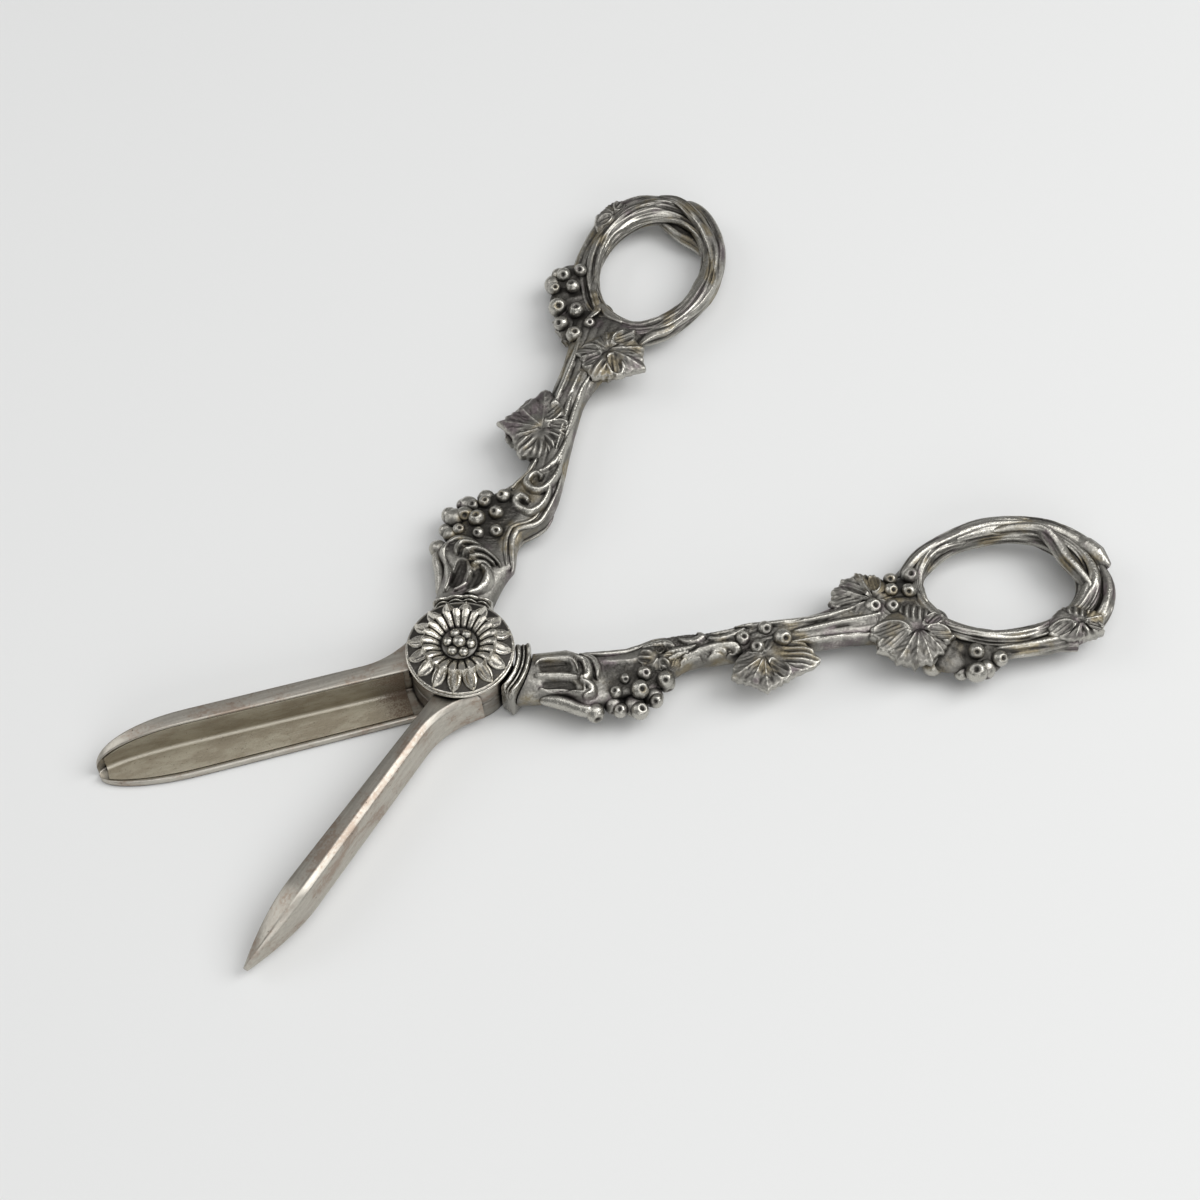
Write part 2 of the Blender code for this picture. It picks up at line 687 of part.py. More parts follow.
def make_handle_mesh(name, waist):
    """One vine casting: ground, ring, twigs, leaves, grapes and scrolls, with its tang socket."""
    handle = loft(name, ground_rings(waist))
    pieces = [finger_ring()]
    pieces.append(twig("far_twig", FAR_TWIG_PATH, FAR_TWIG, FAR_TWIG_STEPS, TWIG_SIDES))
    pieces.append(twig("side_stub", SIDE_STUB_PATH, SIDE_STUB, STRAND_STEPS, STRAND_SIDES))
    for radius, points in STRANDS:
        path = [(s, slim(s, t, waist), z) for s, t, z in points]
        pieces.append(twig("strand", path, radius, STRAND_STEPS, STRAND_SIDES))
    for s, t, heading, length, middle, half in LEAVES:
        pieces.append(leaf("leaf", s, t, heading, length, middle, half))
    for s, t, z, radius in GRAPES:
        pieces.append(ball("grape", (s, slim(s, t, waist), z), radius))
    for s, t, radius, half in PADS:
        pieces.append(pad("pad", s, t, radius, half))
    for s, t, radius in KNOBS:
        pieces.append(ball("knob", (s, slim(s, t, waist), 0.0), radius))
    fuse(handle, pieces)
    tall = COLLAR_HALF_HEIGHT + CUT_MARGIN
    root_room = disc("root_room", COLLAR_OUTER + TANG_CLEARANCE, -tall, tall)
    return cut(handle, root_room, tang_block("socket", TANG_CLEARANCE))


def rosette_height(radius, angle):
    """Height of the flower: a cup, a crest of rounded petals and a skirt of pointed ones."""
    if radius <= ROSETTE_CREST_RADIUS:
        share = (radius - ROSETTE_CUP_RADIUS) / (ROSETTE_CREST_RADIUS - ROSETTE_CUP_RADIUS)
        rise = ROSETTE_CUP + (ROSETTE_CREST - ROSETTE_CUP) * math.sin(share * math.pi / 2)
        groove = abs(math.cos(INNER_PETALS * angle / 2)) * share
        return rise - INNER_PETAL_DEPTH * (1 - groove)
    share = (radius - ROSETTE_CREST_RADIUS) / (ROSETTE_RADIUS - ROSETTE_CREST_RADIUS)
    fall = ROSETTE_CREST - (ROSETTE_CREST - ROSETTE_RIM) * share
    saw = abs((OUTER_PETALS * angle / math.pi) % 2 - 1)
    return fall - OUTER_PETAL_DEPTH * saw * math.sin(share * math.pi)


def make_rosette(parent, material):
    """Sunflower boss, hollow in the middle for the rivet's head."""
    base = LAP_THICKNESS + SEAT_HEIGHT + 2 * SEAT_GAP
    count = OUTER_PETALS * PETAL_SAMPLES
    angles = [2 * math.pi * i / count for i in range(count)]
    crest_span = ROSETTE_CREST_RADIUS - ROSETTE_CUP_RADIUS
    skirt_span = ROSETTE_RADIUS - ROSETTE_CREST_RADIUS
    radii = [ROSETTE_CUP_RADIUS + crest_span * share for share in (0.0, 0.35, 0.7, 1.0)]
    radii += [ROSETTE_CREST_RADIUS + skirt_span * share for share in (0.3, 0.6, 1.0)]
    bore = RIVET_RADIUS + RIVET_CLEARANCE
    cup = base + ROSETTE_CUP - INNER_PETAL_DEPTH
    rings = [[(bore * math.cos(a), bore * math.sin(a), cup) for a in angles]]
    for r in radii:
        rings.append([(r * math.cos(a), r * math.sin(a), base + rosette_height(r, a)) for a in angles])
    for r in (ROSETTE_RADIUS, bore):
        rings.append([(r * math.cos(a), r * math.sin(a), base) for a in angles])
    rosette = loft("rosette", rings, closed=True)
    return finish(rosette, material, parent)


def make_rosette_seat(parent, material):
    """Plain disc between the upper lug and the flower."""
    bottom = LAP_THICKNESS + SEAT_GAP
    seat = disc("rosette_seat", SEAT_RADIUS, bottom, bottom + SEAT_HEIGHT)
    cut(seat, disc("bore", RIVET_RADIUS + RIVET_CLEARANCE, bottom - CUT_MARGIN, bottom + CUT_MARGIN))
    return finish(seat, material, parent)


def make_pivot_rivet(parent, material):
    """Rivet with a spread tail at the back and a head of seed beads in the flower's cup."""
    head = LAP_THICKNESS + SEAT_HEIGHT + 3 * SEAT_GAP + ROSETTE_CUP - INNER_PETAL_DEPTH
    top = head + HEAD_HEIGHT
    rivet = disc("pivot_rivet", RIVET_RADIUS, RIVET_TAIL_HEIGHT / 2, head + HEAD_HEIGHT / 2)
    pieces = [
        disc("tail", RIVET_TAIL_RADIUS, 0.0, RIVET_TAIL_HEIGHT),
        disc("head", HEAD_RADIUS, head, top),
        ball("centre_bead", (0.0, 0.0, top + CENTRE_BEAD_RADIUS / 3), CENTRE_BEAD_RADIUS),
    ]
    for i in range(BEAD_COUNT):
        angle = 2 * math.pi * i / BEAD_COUNT
        centre = (BEAD_CIRCLE * math.cos(angle), BEAD_CIRCLE * math.sin(angle), top)
        pieces.append(ball("bead", centre, BEAD_RADIUS))
    fuse(rivet, pieces)
    return finish(rivet, material, parent)


def make_rivet_burr(parent, material):
    """Washer under the spread tail of the rivet, let into the lower lug."""
    bottom = RIVET_TAIL_HEIGHT + SEAT_GAP
    burr = disc("rivet_burr", BURR_RADIUS, bottom, bottom + BURR_HEIGHT)
    cut(burr, disc("bore", RIVET_RADIUS + RIVET_CLEARANCE, -CUT_MARGIN, CUT_MARGIN))
    return finish(burr, material, parent)


def copy_of(obj, name):
    """A second object on the same mesh."""
    twin = bpy.data.objects.new(name, obj.data)
    bpy.context.scene.collection.objects.link(twin)
    return twin


def make_pair(piece_a, piece_b, half_a, half_b, material):
    """Two pieces in the frames of the handles, the one on half A turned over."""
    finish(piece_b, material, half_b, handle_turn(False), LAP_PLANE)
    finish(piece_a, material, half_a, handle_turn(True), LAP_PLANE)


def main():
    """Build both halves of the shears round the rivet."""
    clear_scene()
    half_a = half_frame("half_a_frame")
    half_b = half_frame("half_b_frame")
    silver = metal("silver", SILVER)
    dark_silver = metal("dark_silver", DARK_SILVER)
    blade_silver = metal("blade_silver", BLADE_SILVER)
    make_blade_a(half_a, blade_silver)
    make_gutter_liner(half_a, metal("old_steel", OLD_STEEL))
    make_blade_b(half_b, blade_silver)
    collar = make_collar_mesh()
    collar.name = "collar_b"
    make_pair(copy_of(collar, "collar_a"), collar, half_a, half_b, silver)
    handle_a = make_handle_mesh("handle_a", WAIST_A)
    handle_b = make_handle_mesh("handle_b", WAIST_B)
    make_pair(handle_a, handle_b, half_a, half_b, dark_silver)
    make_rosette_seat(half_b, silver)
    make_rosette(half_b, silver)
    make_pivot_rivet(half_b, silver)
    make_rivet_burr(half_a, metal("burr_brass", BRASS_METAL))


main()
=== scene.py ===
"""Looks of the silver grape shears: vine-cast handles, a flower on the rivet and gutter blades.

The classes hold sizes in millimetres in the frame of each part, and the meshes are in metres in the
frame of the whole: pivot axis on +Z, back of the shears at zero, +X midway between the handles.
"""

import logging
import math
from dataclasses import dataclass, replace
from enum import Enum, IntEnum
from typing import Callable, Union

import bpy
import numpy as np
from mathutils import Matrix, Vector

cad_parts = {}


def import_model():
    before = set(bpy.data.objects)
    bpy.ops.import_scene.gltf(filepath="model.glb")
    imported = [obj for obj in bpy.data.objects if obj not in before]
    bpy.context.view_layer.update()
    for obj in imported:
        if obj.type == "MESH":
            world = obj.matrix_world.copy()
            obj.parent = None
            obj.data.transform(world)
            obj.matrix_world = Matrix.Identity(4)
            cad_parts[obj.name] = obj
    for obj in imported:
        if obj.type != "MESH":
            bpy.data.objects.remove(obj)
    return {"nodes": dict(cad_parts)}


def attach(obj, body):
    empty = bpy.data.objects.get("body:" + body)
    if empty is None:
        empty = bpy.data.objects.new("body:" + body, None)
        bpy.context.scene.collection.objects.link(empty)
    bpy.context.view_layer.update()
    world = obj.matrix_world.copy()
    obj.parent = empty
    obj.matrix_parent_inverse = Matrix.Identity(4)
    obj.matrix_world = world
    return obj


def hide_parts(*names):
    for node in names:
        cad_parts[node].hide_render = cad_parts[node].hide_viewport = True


MM = 0.001
BARK_TARNISH = 1.35
FULL_TARNISH_GROOVE = 1.0 / 6.0
LOG = logging.getLogger("grape_shears")

Array = np.ndarray
Point = tuple[float, ...]
Path = tuple[Point, ...]
Colour = tuple[float, float, float]
Rule = Callable[[Array], Array]


class Half(Enum):
    """The two rigid halves of the shears, by the names of their bodies."""

    GUTTER = "half_a"
    NESTING = "half_b"


class Face(Enum):
    """The two faces of a handle casting, by the sign of their height."""

    FRONT = 1.0
    BACK = -1.0


class Relief(Enum):
    """How a raised line is made: as a ridge of the ground itself or as a tube laid on it."""

    RIDGE = "ridge"
    TUBE = "tube"


class Lobe(IntEnum):
    """What a lobe of a vine leaf carries. A point shapes the edge and carries nothing."""

    LOOPED = 0
    RIDGED = 1
    PLAIN = 2
    POINT = 3


@dataclass(frozen=True)
class Pivot:
    """Sizes shared by everything that turns on the rivet."""

    blade_a_angle: float = 158.3
    blade_b_angle: float = 199.6
    handle_angle: float = 29.9
    lap_thickness: float = 9.0
    lap_gap: float = 0.3
    lug_radius: float = 8.8
    shoulder_radius: float = 9.2
    rivet_radius: float = 2.4
    bore_radius: float = 2.46

    @property
    def lap_plane(self) -> float:
        """Height where the two lugs meet."""
        return self.lap_thickness / 2


PIVOT = Pivot()


def smooth_step(low: float, high: float, value: Array) -> Array:
    """Rise from 0 at low to 1 at high along a cubic with flat ends."""
    share = np.clip((value - low) / (high - low), 0.0, 1.0)
    return share * share * (3.0 - 2.0 * share)


def window(span: Point, value: Array) -> Array:
    """Rise from 0 to 1 between the first two numbers of a span, and fall back between the last two."""
    rise, full, fade, end = span
    return smooth_step(rise, full, value) * (1 - smooth_step(fade, end, value))


def hump(value: Array, width: float) -> Array:
    """Bell curve of the given half width round zero."""
    return np.exp(-((value / width) ** 2))


def unit(vectors: Array) -> Array:
    """Vectors scaled to length one."""
    return vectors / np.linalg.norm(vectors, axis=-1, keepdims=True)


def turns(count: int) -> Array:
    """Angles evenly round a full turn."""
    return np.linspace(0.0, 2.0 * np.pi, count, endpoint=False)


def around(radius: Array, angle: Array, height: Array) -> Array:
    """Grid of points at a radius and an angle round the upright axis, and at a height."""
    grid = np.broadcast_arrays(radius * np.cos(angle), radius * np.sin(angle), height)
    return np.stack(grid, axis=-1)


def there_and_back(values: Array) -> Array:
    """Values followed by themselves in reverse."""
    return np.concatenate((values, values[::-1]))


def look_up(table: Path, s: Array) -> list[Array]:
    """Columns of a table at places given by its first column, straight between its rows."""
    columns = np.array(table).T
    return [np.interp(s, columns[0], column) for column in columns[1:]]


def curve(points: Path, count: int) -> Array:
    """Points on a Catmull-Rom curve: each span is a cubic through its two inner knots.

    Args:
        points: the knots, in order.
        count: how many points to return.

    Returns:
        An array of count rows.
    """
    knots = np.asarray(points, dtype=float)
    knots = np.vstack((2 * knots[:1] - knots[1:2], knots, 2 * knots[-1:] - knots[-2:-1]))
    spans = len(knots) - 3
    place = np.linspace(0.0, spans, count)
    start = np.minimum(place.astype(int), spans - 1)
    f = (place - start)[:, None]
    p0, p1, p2, p3 = knots[start], knots[start + 1], knots[start + 2], knots[start + 3]
    bend = (2 * p0 - 5 * p1 + 4 * p2 - p3) * f**2 + (3 * p1 - p0 - 3 * p2 + p3) * f**3
    return (2 * p1 + (p2 - p0) * f + bend) / 2


def bark(along: Array, angle: Array, seed: float) -> Array:
    """Long wandering grooves round a twig, from 0 on the ridges to 1 in the grooves.

    Cosines of the angle, of three, five, eleven and nineteen ridges, whose phases drift slowly along
    the twig, are added and sharpened. The finer ridges fade in and out along the way.

    Args:
        along: millimetres along the twig, as a column.
        angle: angle round the twig, as a row.
        seed: phase of the pattern.

    Returns:
        Depth of the grooves as a share.
    """
    drift = 0.9 * np.sin(along * 0.21 + seed) + 0.5 * np.sin(along * 0.57 + 2.1 * seed)
    three = np.cos(3 * angle + drift + seed)
    five = np.cos(5 * angle - 1.4 * drift + 1.7 * seed + 0.10 * along)
    eleven = np.cos(11 * angle + 2.2 * drift + 0.6 * seed)
    nineteen = np.cos(19 * angle - 1.3 * drift + 0.13 * along)
    fade = 0.5 + 0.5 * np.sin(along * 0.33 + 2 * angle + seed)
    total = 0.47 + 0.27 * three + 0.23 * five + 0.20 * eleven * fade + 0.17 * nineteen * (1.0 - fade)
    return np.clip(total, 0.0, 1.0) ** 1.5


@dataclass
class Shell:
    """A closed skin of quads, triangles and flat caps, with one value of tarnish for each point."""

    points: Array
    quads: Array
    triangles: Array
    tarnish_and_painted_shade: Array
    caps: tuple[Array, ...] = ()

    def placed(self, turn: Array, height: float) -> "Shell":
        """The shell turned about the pivot and raised."""
        return replace(self, points=self.points @ turn.T + np.array((0.0, 0.0, height)))

    def outward(self) -> "Shell":
        """The shell with its faces pointing out, judged by the sign of its volume."""
        fans = [np.stack((np.full(len(cap) - 2, cap[0]), cap[1:-1], cap[2:]), axis=-1) for cap in self.caps]
        split = np.vstack((self.quads[:, (0, 1, 2)], self.quads[:, (0, 2, 3)], self.triangles, *fans))
        a, b, c = (self.points[split[:, k]] for k in range(3))
        if np.einsum("ij,ij->", a, np.cross(b, c)) < 0:
            caps = tuple(cap[::-1] for cap in self.caps)
            return Shell(self.points, self.quads[:, ::-1], self.triangles[:, ::-1], self.tarnish_and_painted_shade, caps)
        return self


def skin(rows: Array, tarnish_and_painted_shade: Union[float, Array] = 0.0, ring: bool = False,
         hollow: bool = False) -> Shell:
    """Close a grid of points whose columns run round.

    Neighbouring rows are joined by quads. The ends are closed by a fan round the middle of the
    first and last row, or by one flat face where the row's outline is hollow. On a ring the last
    row joins the first.

    Args:
        rows: points of shape rows, columns, three.
        tarnish_and_painted_shade: one value, or one for each point of the grid.
        ring: whether the rows run round as well.
        hollow: whether the outline of an end bends inwards, so that no fan fits it.

    Returns:
        The closed shell.
    """
    count, sides, _ = rows.shape
    index = np.arange(count * sides).reshape(count, sides)
    near = index if ring else index[:-1]
    far = np.roll(index, -1, axis=0) if ring else index[1:]
    quads = np.stack((near, np.roll(near, -1, 1), np.roll(far, -1, 1), far), axis=-1).reshape(-1, 4)
    points = rows.reshape(-1, 3)
    tone = np.broadcast_to(tarnish_and_painted_shade, (count, sides)).reshape(-1)
    triangles = np.zeros((0, 3), dtype=int)
    if hollow:
        return Shell(points, quads, triangles, tone, (index[0][::-1], index[-1])).outward()
    if not ring:
        points = np.vstack((points, rows[0].mean(0), rows[-1].mean(0)))
        tone = np.concatenate((tone, (tone[0], tone[-1])))
        first = np.full(sides, count * sides)
        start = np.stack((first, np.roll(index[0], -1), index[0]), axis=-1)
        end = np.stack((first + 1, index[-1], np.roll(index[-1], -1)), axis=-1)
        triangles = np.vstack((start, end))
    return Shell(points, quads, triangles, tone).outward()


def frames(path: Array, closed: bool) -> tuple[Array, Array]:
    """Level side and upward normal along a path that never runs straight up."""
    step = np.roll(path, -1, 0) - np.roll(path, 1, 0) if closed else np.gradient(path, axis=0)
    along = unit(step)
    side = unit(np.cross(along, (0.0, 0.0, 1.0)))
    return side, np.cross(side, along)


def tube(path: Array, radius: Union[float, Array], sides: int, closed: bool = False,
         flat: float = 1.0, groove: float = 0.0, seed: float = 0.0) -> Shell:
    """Carry a round profile along a path, with bark cut into it.

    A point is the path plus the radius times cosine of the angle to the side and sine upward. The
    radius shrinks by the groove depth where the bark is deep, and tarnish follows the bark.

    Args:
        path: centre line.
        radius: one radius, or one for each point of the path.
        sides: points round the profile.
        closed: whether the path is a loop.
        flat: height of the profile as a share of its width.
        groove: depth of the bark as a share of the radius.
        seed: phase of the bark.

    Returns:
        The closed tube.
    """
    side, up = frames(path, closed)
    angle = turns(sides)[None, :]
    length = np.cumsum(np.linalg.norm(np.diff(path, axis=0, prepend=path[:1]), axis=1))[:, None]
    depth = bark(length, angle, seed)
    reach = np.broadcast_to(radius, (len(path),))[:, None] * (1.0 - groove * depth)
    across = (reach * np.cos(angle))[..., None] * side[:, None, :]
    rise = (flat * reach * np.sin(angle))[..., None] * up[:, None, :]
    tone = np.clip(BARK_TARNISH * depth * min(1.0, groove / FULL_TARNISH_GROOVE), 0.0, 1.0)
    return skin(path[:, None, :] + across + rise, tone, ring=closed)


def rounded(count: int, start: float = 0.6, end: float = 0.6, blunt: float = 5.0) -> Array:
    """Radius shares along a twig: full in the middle, rounding off at both ends.

    The share is a straight taper from the start and end values to one, times a superellipse that
    falls nearly to zero at the very ends.

    Args:
        count: how many shares to return.
        start: taper at the start.
        end: taper at the end.
        blunt: half the power of the superellipse. A higher one rounds off later.

    Returns:
        The shares, in order.
    """
    place = np.linspace(-1.0, 1.0, count)
    taper = np.interp(place, (-1.0, -0.3, 0.3, 1.0), (start, 1.0, 1.0, end))
    return taper * np.sqrt(np.clip(1.0 - np.abs(place) ** (2 * blunt), 0.004, 1.0))


def lathe(profile: Path, sides: int, tarnish_and_painted_shade: float = 0.0) -> Shell:
    """Turn a closed profile of radius and height round the pivot axis."""
    outline = np.asarray(profile, dtype=float)
    return skin(around(outline[:, :1], turns(sides)[None, :], outline[:, 1:]), tarnish_and_painted_shade, ring=True)


def soften(profile: Array, radius: float, steps: int) -> Array:
    """Round every corner of closed outlines, one outline for each row.

    Each corner gives way to a quadratic curve between points on its two edges, at the radius from
    the corner or at two fifths of the edge where that is shorter.

    Args:
        profile: outlines of shape rows, corners, two.
        radius: distance from a corner to where its rounding starts.
        steps: points for each corner.

    Returns:
        Outlines of shape rows, corners times steps, two.
    """
    before = np.roll(profile, 1, axis=1) - profile
    after = np.roll(profile, -1, axis=1) - profile
    back = np.linalg.norm(before, axis=-1, keepdims=True)
    ahead = np.linalg.norm(after, axis=-1, keepdims=True)
    start = profile + before * np.minimum(0.4, radius / np.maximum(back, 1e-6))
    end = profile + after * np.minimum(0.4, radius / np.maximum(ahead, 1e-6))
    f = np.linspace(0.0, 1.0, steps)[None, None, :, None]
    bend = start[:, :, None] * (1 - f) ** 2 + profile[:, :, None] * 2 * f * (1 - f)
    bend = bend + end[:, :, None] * f**2
    return bend.reshape(len(profile), -1, 2)


class Signal:
    """A shader socket that takes part in Python sums, each of which adds a Math node."""

    def __init__(self, tree: bpy.types.NodeTree, socket: bpy.types.NodeSocket) -> None:
        """Wrap a socket of a tree."""
        self.tree = tree
        self.socket = socket

    def _math(self, operation: str, first: "Operand", second: "Operand") -> "Signal":
        """Join two operands by a Math node."""
        return add_node(self.tree, "ShaderNodeMath", {"operation": operation}, {0: first, 1: second})

    def __add__(self, other: "Operand") -> "Signal":
        """Sum."""
        return self._math("ADD", self, other)

    def __sub__(self, other: "Operand") -> "Signal":
        """Difference."""
        return self._math("SUBTRACT", self, other)

    def __rsub__(self, other: "Operand") -> "Signal":
        """Difference with the signal on the right."""
        return self._math("SUBTRACT", other, self)

    def __mul__(self, other: "Operand") -> "Signal":
        """Product."""
        return self._math("MULTIPLY", self, other)

    __radd__ = __add__
    __rmul__ = __mul__

    def step(self, low: float, high: float) -> "Signal":
        """Rise smoothly from 0 at low to 1 at high."""
        inputs = {"Value": self, "From Min": low, "From Max": high}
        settings = {"interpolation_type": "SMOOTHSTEP"}
        return add_node(self.tree, "ShaderNodeMapRange", settings, inputs, "Result")


Operand = Union[Signal, float]
Paint = Union[Signal, Colour]


def feed(tree: bpy.types.NodeTree, socket: bpy.types.NodeSocket, value: Union[Operand, Paint]) -> None:
    """Link a signal to a socket, or set the socket to a plain value."""
    if isinstance(value, Signal):
        tree.links.new(value.socket, socket)
    elif isinstance(value, tuple) and len(socket.default_value) == 4:
        socket.default_value = (*value, 1.0)
    else:
        socket.default_value = value


def add_node(tree: bpy.types.NodeTree, kind: str, settings: dict, inputs: dict,
             output: Union[str, int] = 0) -> Signal:
    """Add one node to a tree.

    Args:
        tree: where the node goes.
        kind: the node's type.
        settings: attributes to set before anything else.
        inputs: values or signals by socket name or number.
        output: the socket to return.

    Returns:
        The chosen output as a signal.
    """
    node = tree.nodes.new(kind)
    for name, value in settings.items():
        setattr(node, name, value)
    for name, value in inputs.items():
        feed(tree, node.inputs[name], value)
    return Signal(tree, node.outputs[output])


class Finish:
    """The node tree of one finish, built round its Principled shader."""

    def __init__(self, name: str) -> None:
        """Start a material with a metal shader."""
        self.material = bpy.data.materials.new(name)
        self.material.use_nodes = True
        self.tree = self.material.node_tree
        self.shader = self.tree.nodes["Principled BSDF"]
        self.shader.inputs["Metallic"].default_value = 1.0

    def node(self, kind: str, settings: dict, inputs: dict, output: Union[str, int] = 0) -> Signal:
        """Add one node to the finish and return one of its outputs."""
        return add_node(self.tree, kind, settings, inputs, output)

    def place(self, degrees: float = 0.0) -> Signal:
        """Object coordinates in millimetres, turned back about the pivot by an angle."""
        where = self.node("ShaderNodeTexCoord", {}, {}, "Object")
        turn = (0.0, 0.0, -math.radians(degrees))
        scale = (1.0 / MM, 1.0 / MM, 1.0 / MM)
        return self.node("ShaderNodeMapping", {}, {"Vector": where, "Rotation": turn, "Scale": scale})

    def stretch(self, where: Signal, scale: Point) -> Signal:
        """Coordinates scaled apart along the three axes."""
        return self.node("ShaderNodeMapping", {}, {"Vector": where, "Scale": scale})

    def noise(self, where: Signal, scale: float, detail: float = 4.0, rough: float = 0.55) -> Signal:
        """Cloudy noise from 0 to 1 with a scale in cycles for each millimetre."""
        inputs = {"Vector": where, "Scale": scale, "Detail": detail, "Roughness": rough}
        return self.node("ShaderNodeTexNoise", {}, inputs, "Fac")

    def pits(self, where: Signal, scale: float) -> Signal:
        """Distance to the nearest of scattered points."""
        return self.node("ShaderNodeTexVoronoi", {}, {"Vector": where, "Scale": scale}, "Distance")

    def mix(self, share: Operand, first: Paint, second: Paint) -> Signal:
        """Blend two colours."""
        settings = {"data_type": "RGBA"}
        return self.node("ShaderNodeMix", settings, {0: share, 6: first, 7: second}, 2)

    def hollows(self, reach: float) -> Signal:
        """Openness of the surface: 1 on high places and 0 deep in hollows of a size in millimetres."""
        settings = {"samples": 10}
        return self.node("ShaderNodeAmbientOcclusion", settings, {"Distance": reach * MM}, "AO")

    def tarnish_and_painted_shade(self) -> Signal:
        """The value stored on the points of the mesh: tarnish on the casting, painted shade on the blades.
        """
        return self.node("ShaderNodeAttribute", {"attribute_name": "tarnish_and_painted_shade"}, {}, "Fac")

    def axis(self, where: Signal, name: str) -> Signal:
        """One coordinate, in millimetres."""
        return self.node("ShaderNodeSeparateXYZ", {}, {"Vector": where}, name)

    def bump(self, height: Signal, depth: float) -> None:
        """Raise the surface by a height of a few hundredths of a millimetre."""
        inputs = {"Height": height, "Distance": depth * MM, "Strength": 1.0}
        self.paint("Normal", self.node("ShaderNodeBump", {}, inputs, "Normal"))

    def paint(self, socket: str, value: Union[Operand, Paint]) -> None:
        """Give a signal or a plain value to the shader."""
        feed(self.tree, self.shader.inputs[socket], value)


@dataclass(frozen=True)
class OxidisedSilver:
    """Cast silver plate: black in the hollows, grey on the ground and bright on what is rubbed."""

    bright: Colour = (0.49, 0.475, 0.43)
    grey: Colour = (0.22, 0.212, 0.193)
    black: Colour = (0.062, 0.058, 0.052)
    warm: Colour = (0.27, 0.23, 0.155)
    plum: Colour = (0.195, 0.165, 0.17)
    reach: float = 2.0
    dark_below: float = 0.34
    bright_above: float = 0.98
    tarnish_share: float = 0.50
    smooth: float = 0.27
    dull: float = 0.52
    grain: float = 0.085

    def material(self, name: str) -> bpy.types.Material:
        """Build the finish.

        Openness less tarnish, stirred by noise, runs from black through grey to bright. Roughness
        falls the same way, and warm and plum blooms lie on parts of the grey. Noise of three sizes
        gives the uneven skin of an old casting.

        Args:
            name: what to call the material.

        Returns:
            The material.
        """
        finish = Finish(name)
        where = finish.place()
        clouds = finish.noise(where, 0.35)
        lumps = finish.noise(where, 0.9, 3.0)
        specks = finish.noise(where, 2.6, 6.0)
        stir = (clouds - 0.5) * 0.45 + (specks - 0.5) * 0.45
        rubbed = finish.hollows(self.reach) - finish.tarnish_and_painted_shade() * self.tarnish_share + stir
        middle = (self.dark_below + self.bright_above) / 2
        lift = rubbed.step(self.dark_below, middle)
        shine = rubbed.step(middle, self.bright_above)
        bloom = finish.noise(where, 0.16, 3.0)
        ground = finish.mix(bloom.step(0.50, 0.66), self.grey, self.warm)
        ground = finish.mix(1.0 - bloom.step(0.34, 0.46), ground, self.plum)
        colour = finish.mix(lift, self.black, ground)
        finish.paint("Base Color", finish.mix(shine, colour, self.bright))
        finish.paint("Roughness", self.dull - (self.dull - self.smooth) * shine + (specks - 0.5) * 0.16)
        finish.bump(lumps * 1.6 + specks * 0.7 + finish.noise(where, 9.0, 3.0) * 0.15, self.grain)
        return finish.material


@dataclass(frozen=True)
class SatinSilver:
    """Worn satin plate of a blade, with fine scratches along it, tan tarnish and small pits."""

    angle: float
    bright: Colour = (0.56, 0.535, 0.475)
    grey: Colour = (0.43, 0.40, 0.35)
    tan: Colour = (0.35, 0.275, 0.22)
    black: Colour = (0.05, 0.045, 0.04)
    smooth: float = 0.33
    dull: float = 0.50

    def material(self, name: str) -> bpy.types.Material:
        """Build the finish.

        Noise drawn out along the blade makes the scratches, cloudy noise the tarnish, and scattered
        points under a size limit the pits. Hollows darken it, and so does the painted shade stored on its
        points: shade on the lug's barrel, a shadow along the gutter wall's inner edge and a dark reflection
        on the nesting blade's bevel.

        Args:
            name: what to call the material.

        Returns:
            The material.
        """
        finish = Finish(name)
        where = finish.place(self.angle)
        scratches = finish.noise(finish.stretch(where, (0.05, 2.2, 2.2)), 1.0, 5.0, 0.6)
        clouds = finish.noise(finish.stretch(where, (0.4, 1.0, 1.0)), 0.28, 5.0, 0.6)
        speck = 1.0 - finish.pits(where, 0.85).step(0.05, 0.16)
        mottle = finish.noise(where, 1.7, 5.0)
        # Hollows, and the stored painted shade, shadow and dark reflection, turn the plate black.
        worn_and_unshaded = finish.hollows(1.2).step(0.25, 0.85) - finish.tarnish_and_painted_shade()
        base = finish.mix((scratches * 0.6 + mottle * 0.4).step(0.32, 0.66), self.grey, self.bright)
        base = finish.mix((clouds + (mottle - 0.5) * 0.5).step(0.45, 0.66) * 0.85, base, self.tan)
        base = finish.mix((speck * mottle.step(0.5, 0.62)) * 0.8, base, self.black)
        finish.paint("Base Color", finish.mix(worn_and_unshaded.step(0.0, 0.9), self.black, base))
        dulled = (self.dull - self.smooth) * clouds
        finish.paint("Roughness", self.smooth + dulled + (scratches - 0.5) * 0.2)
        finish.bump(scratches * 0.8 + mottle * 0.5 - speck * 0.8, 0.018)
        return finish.material


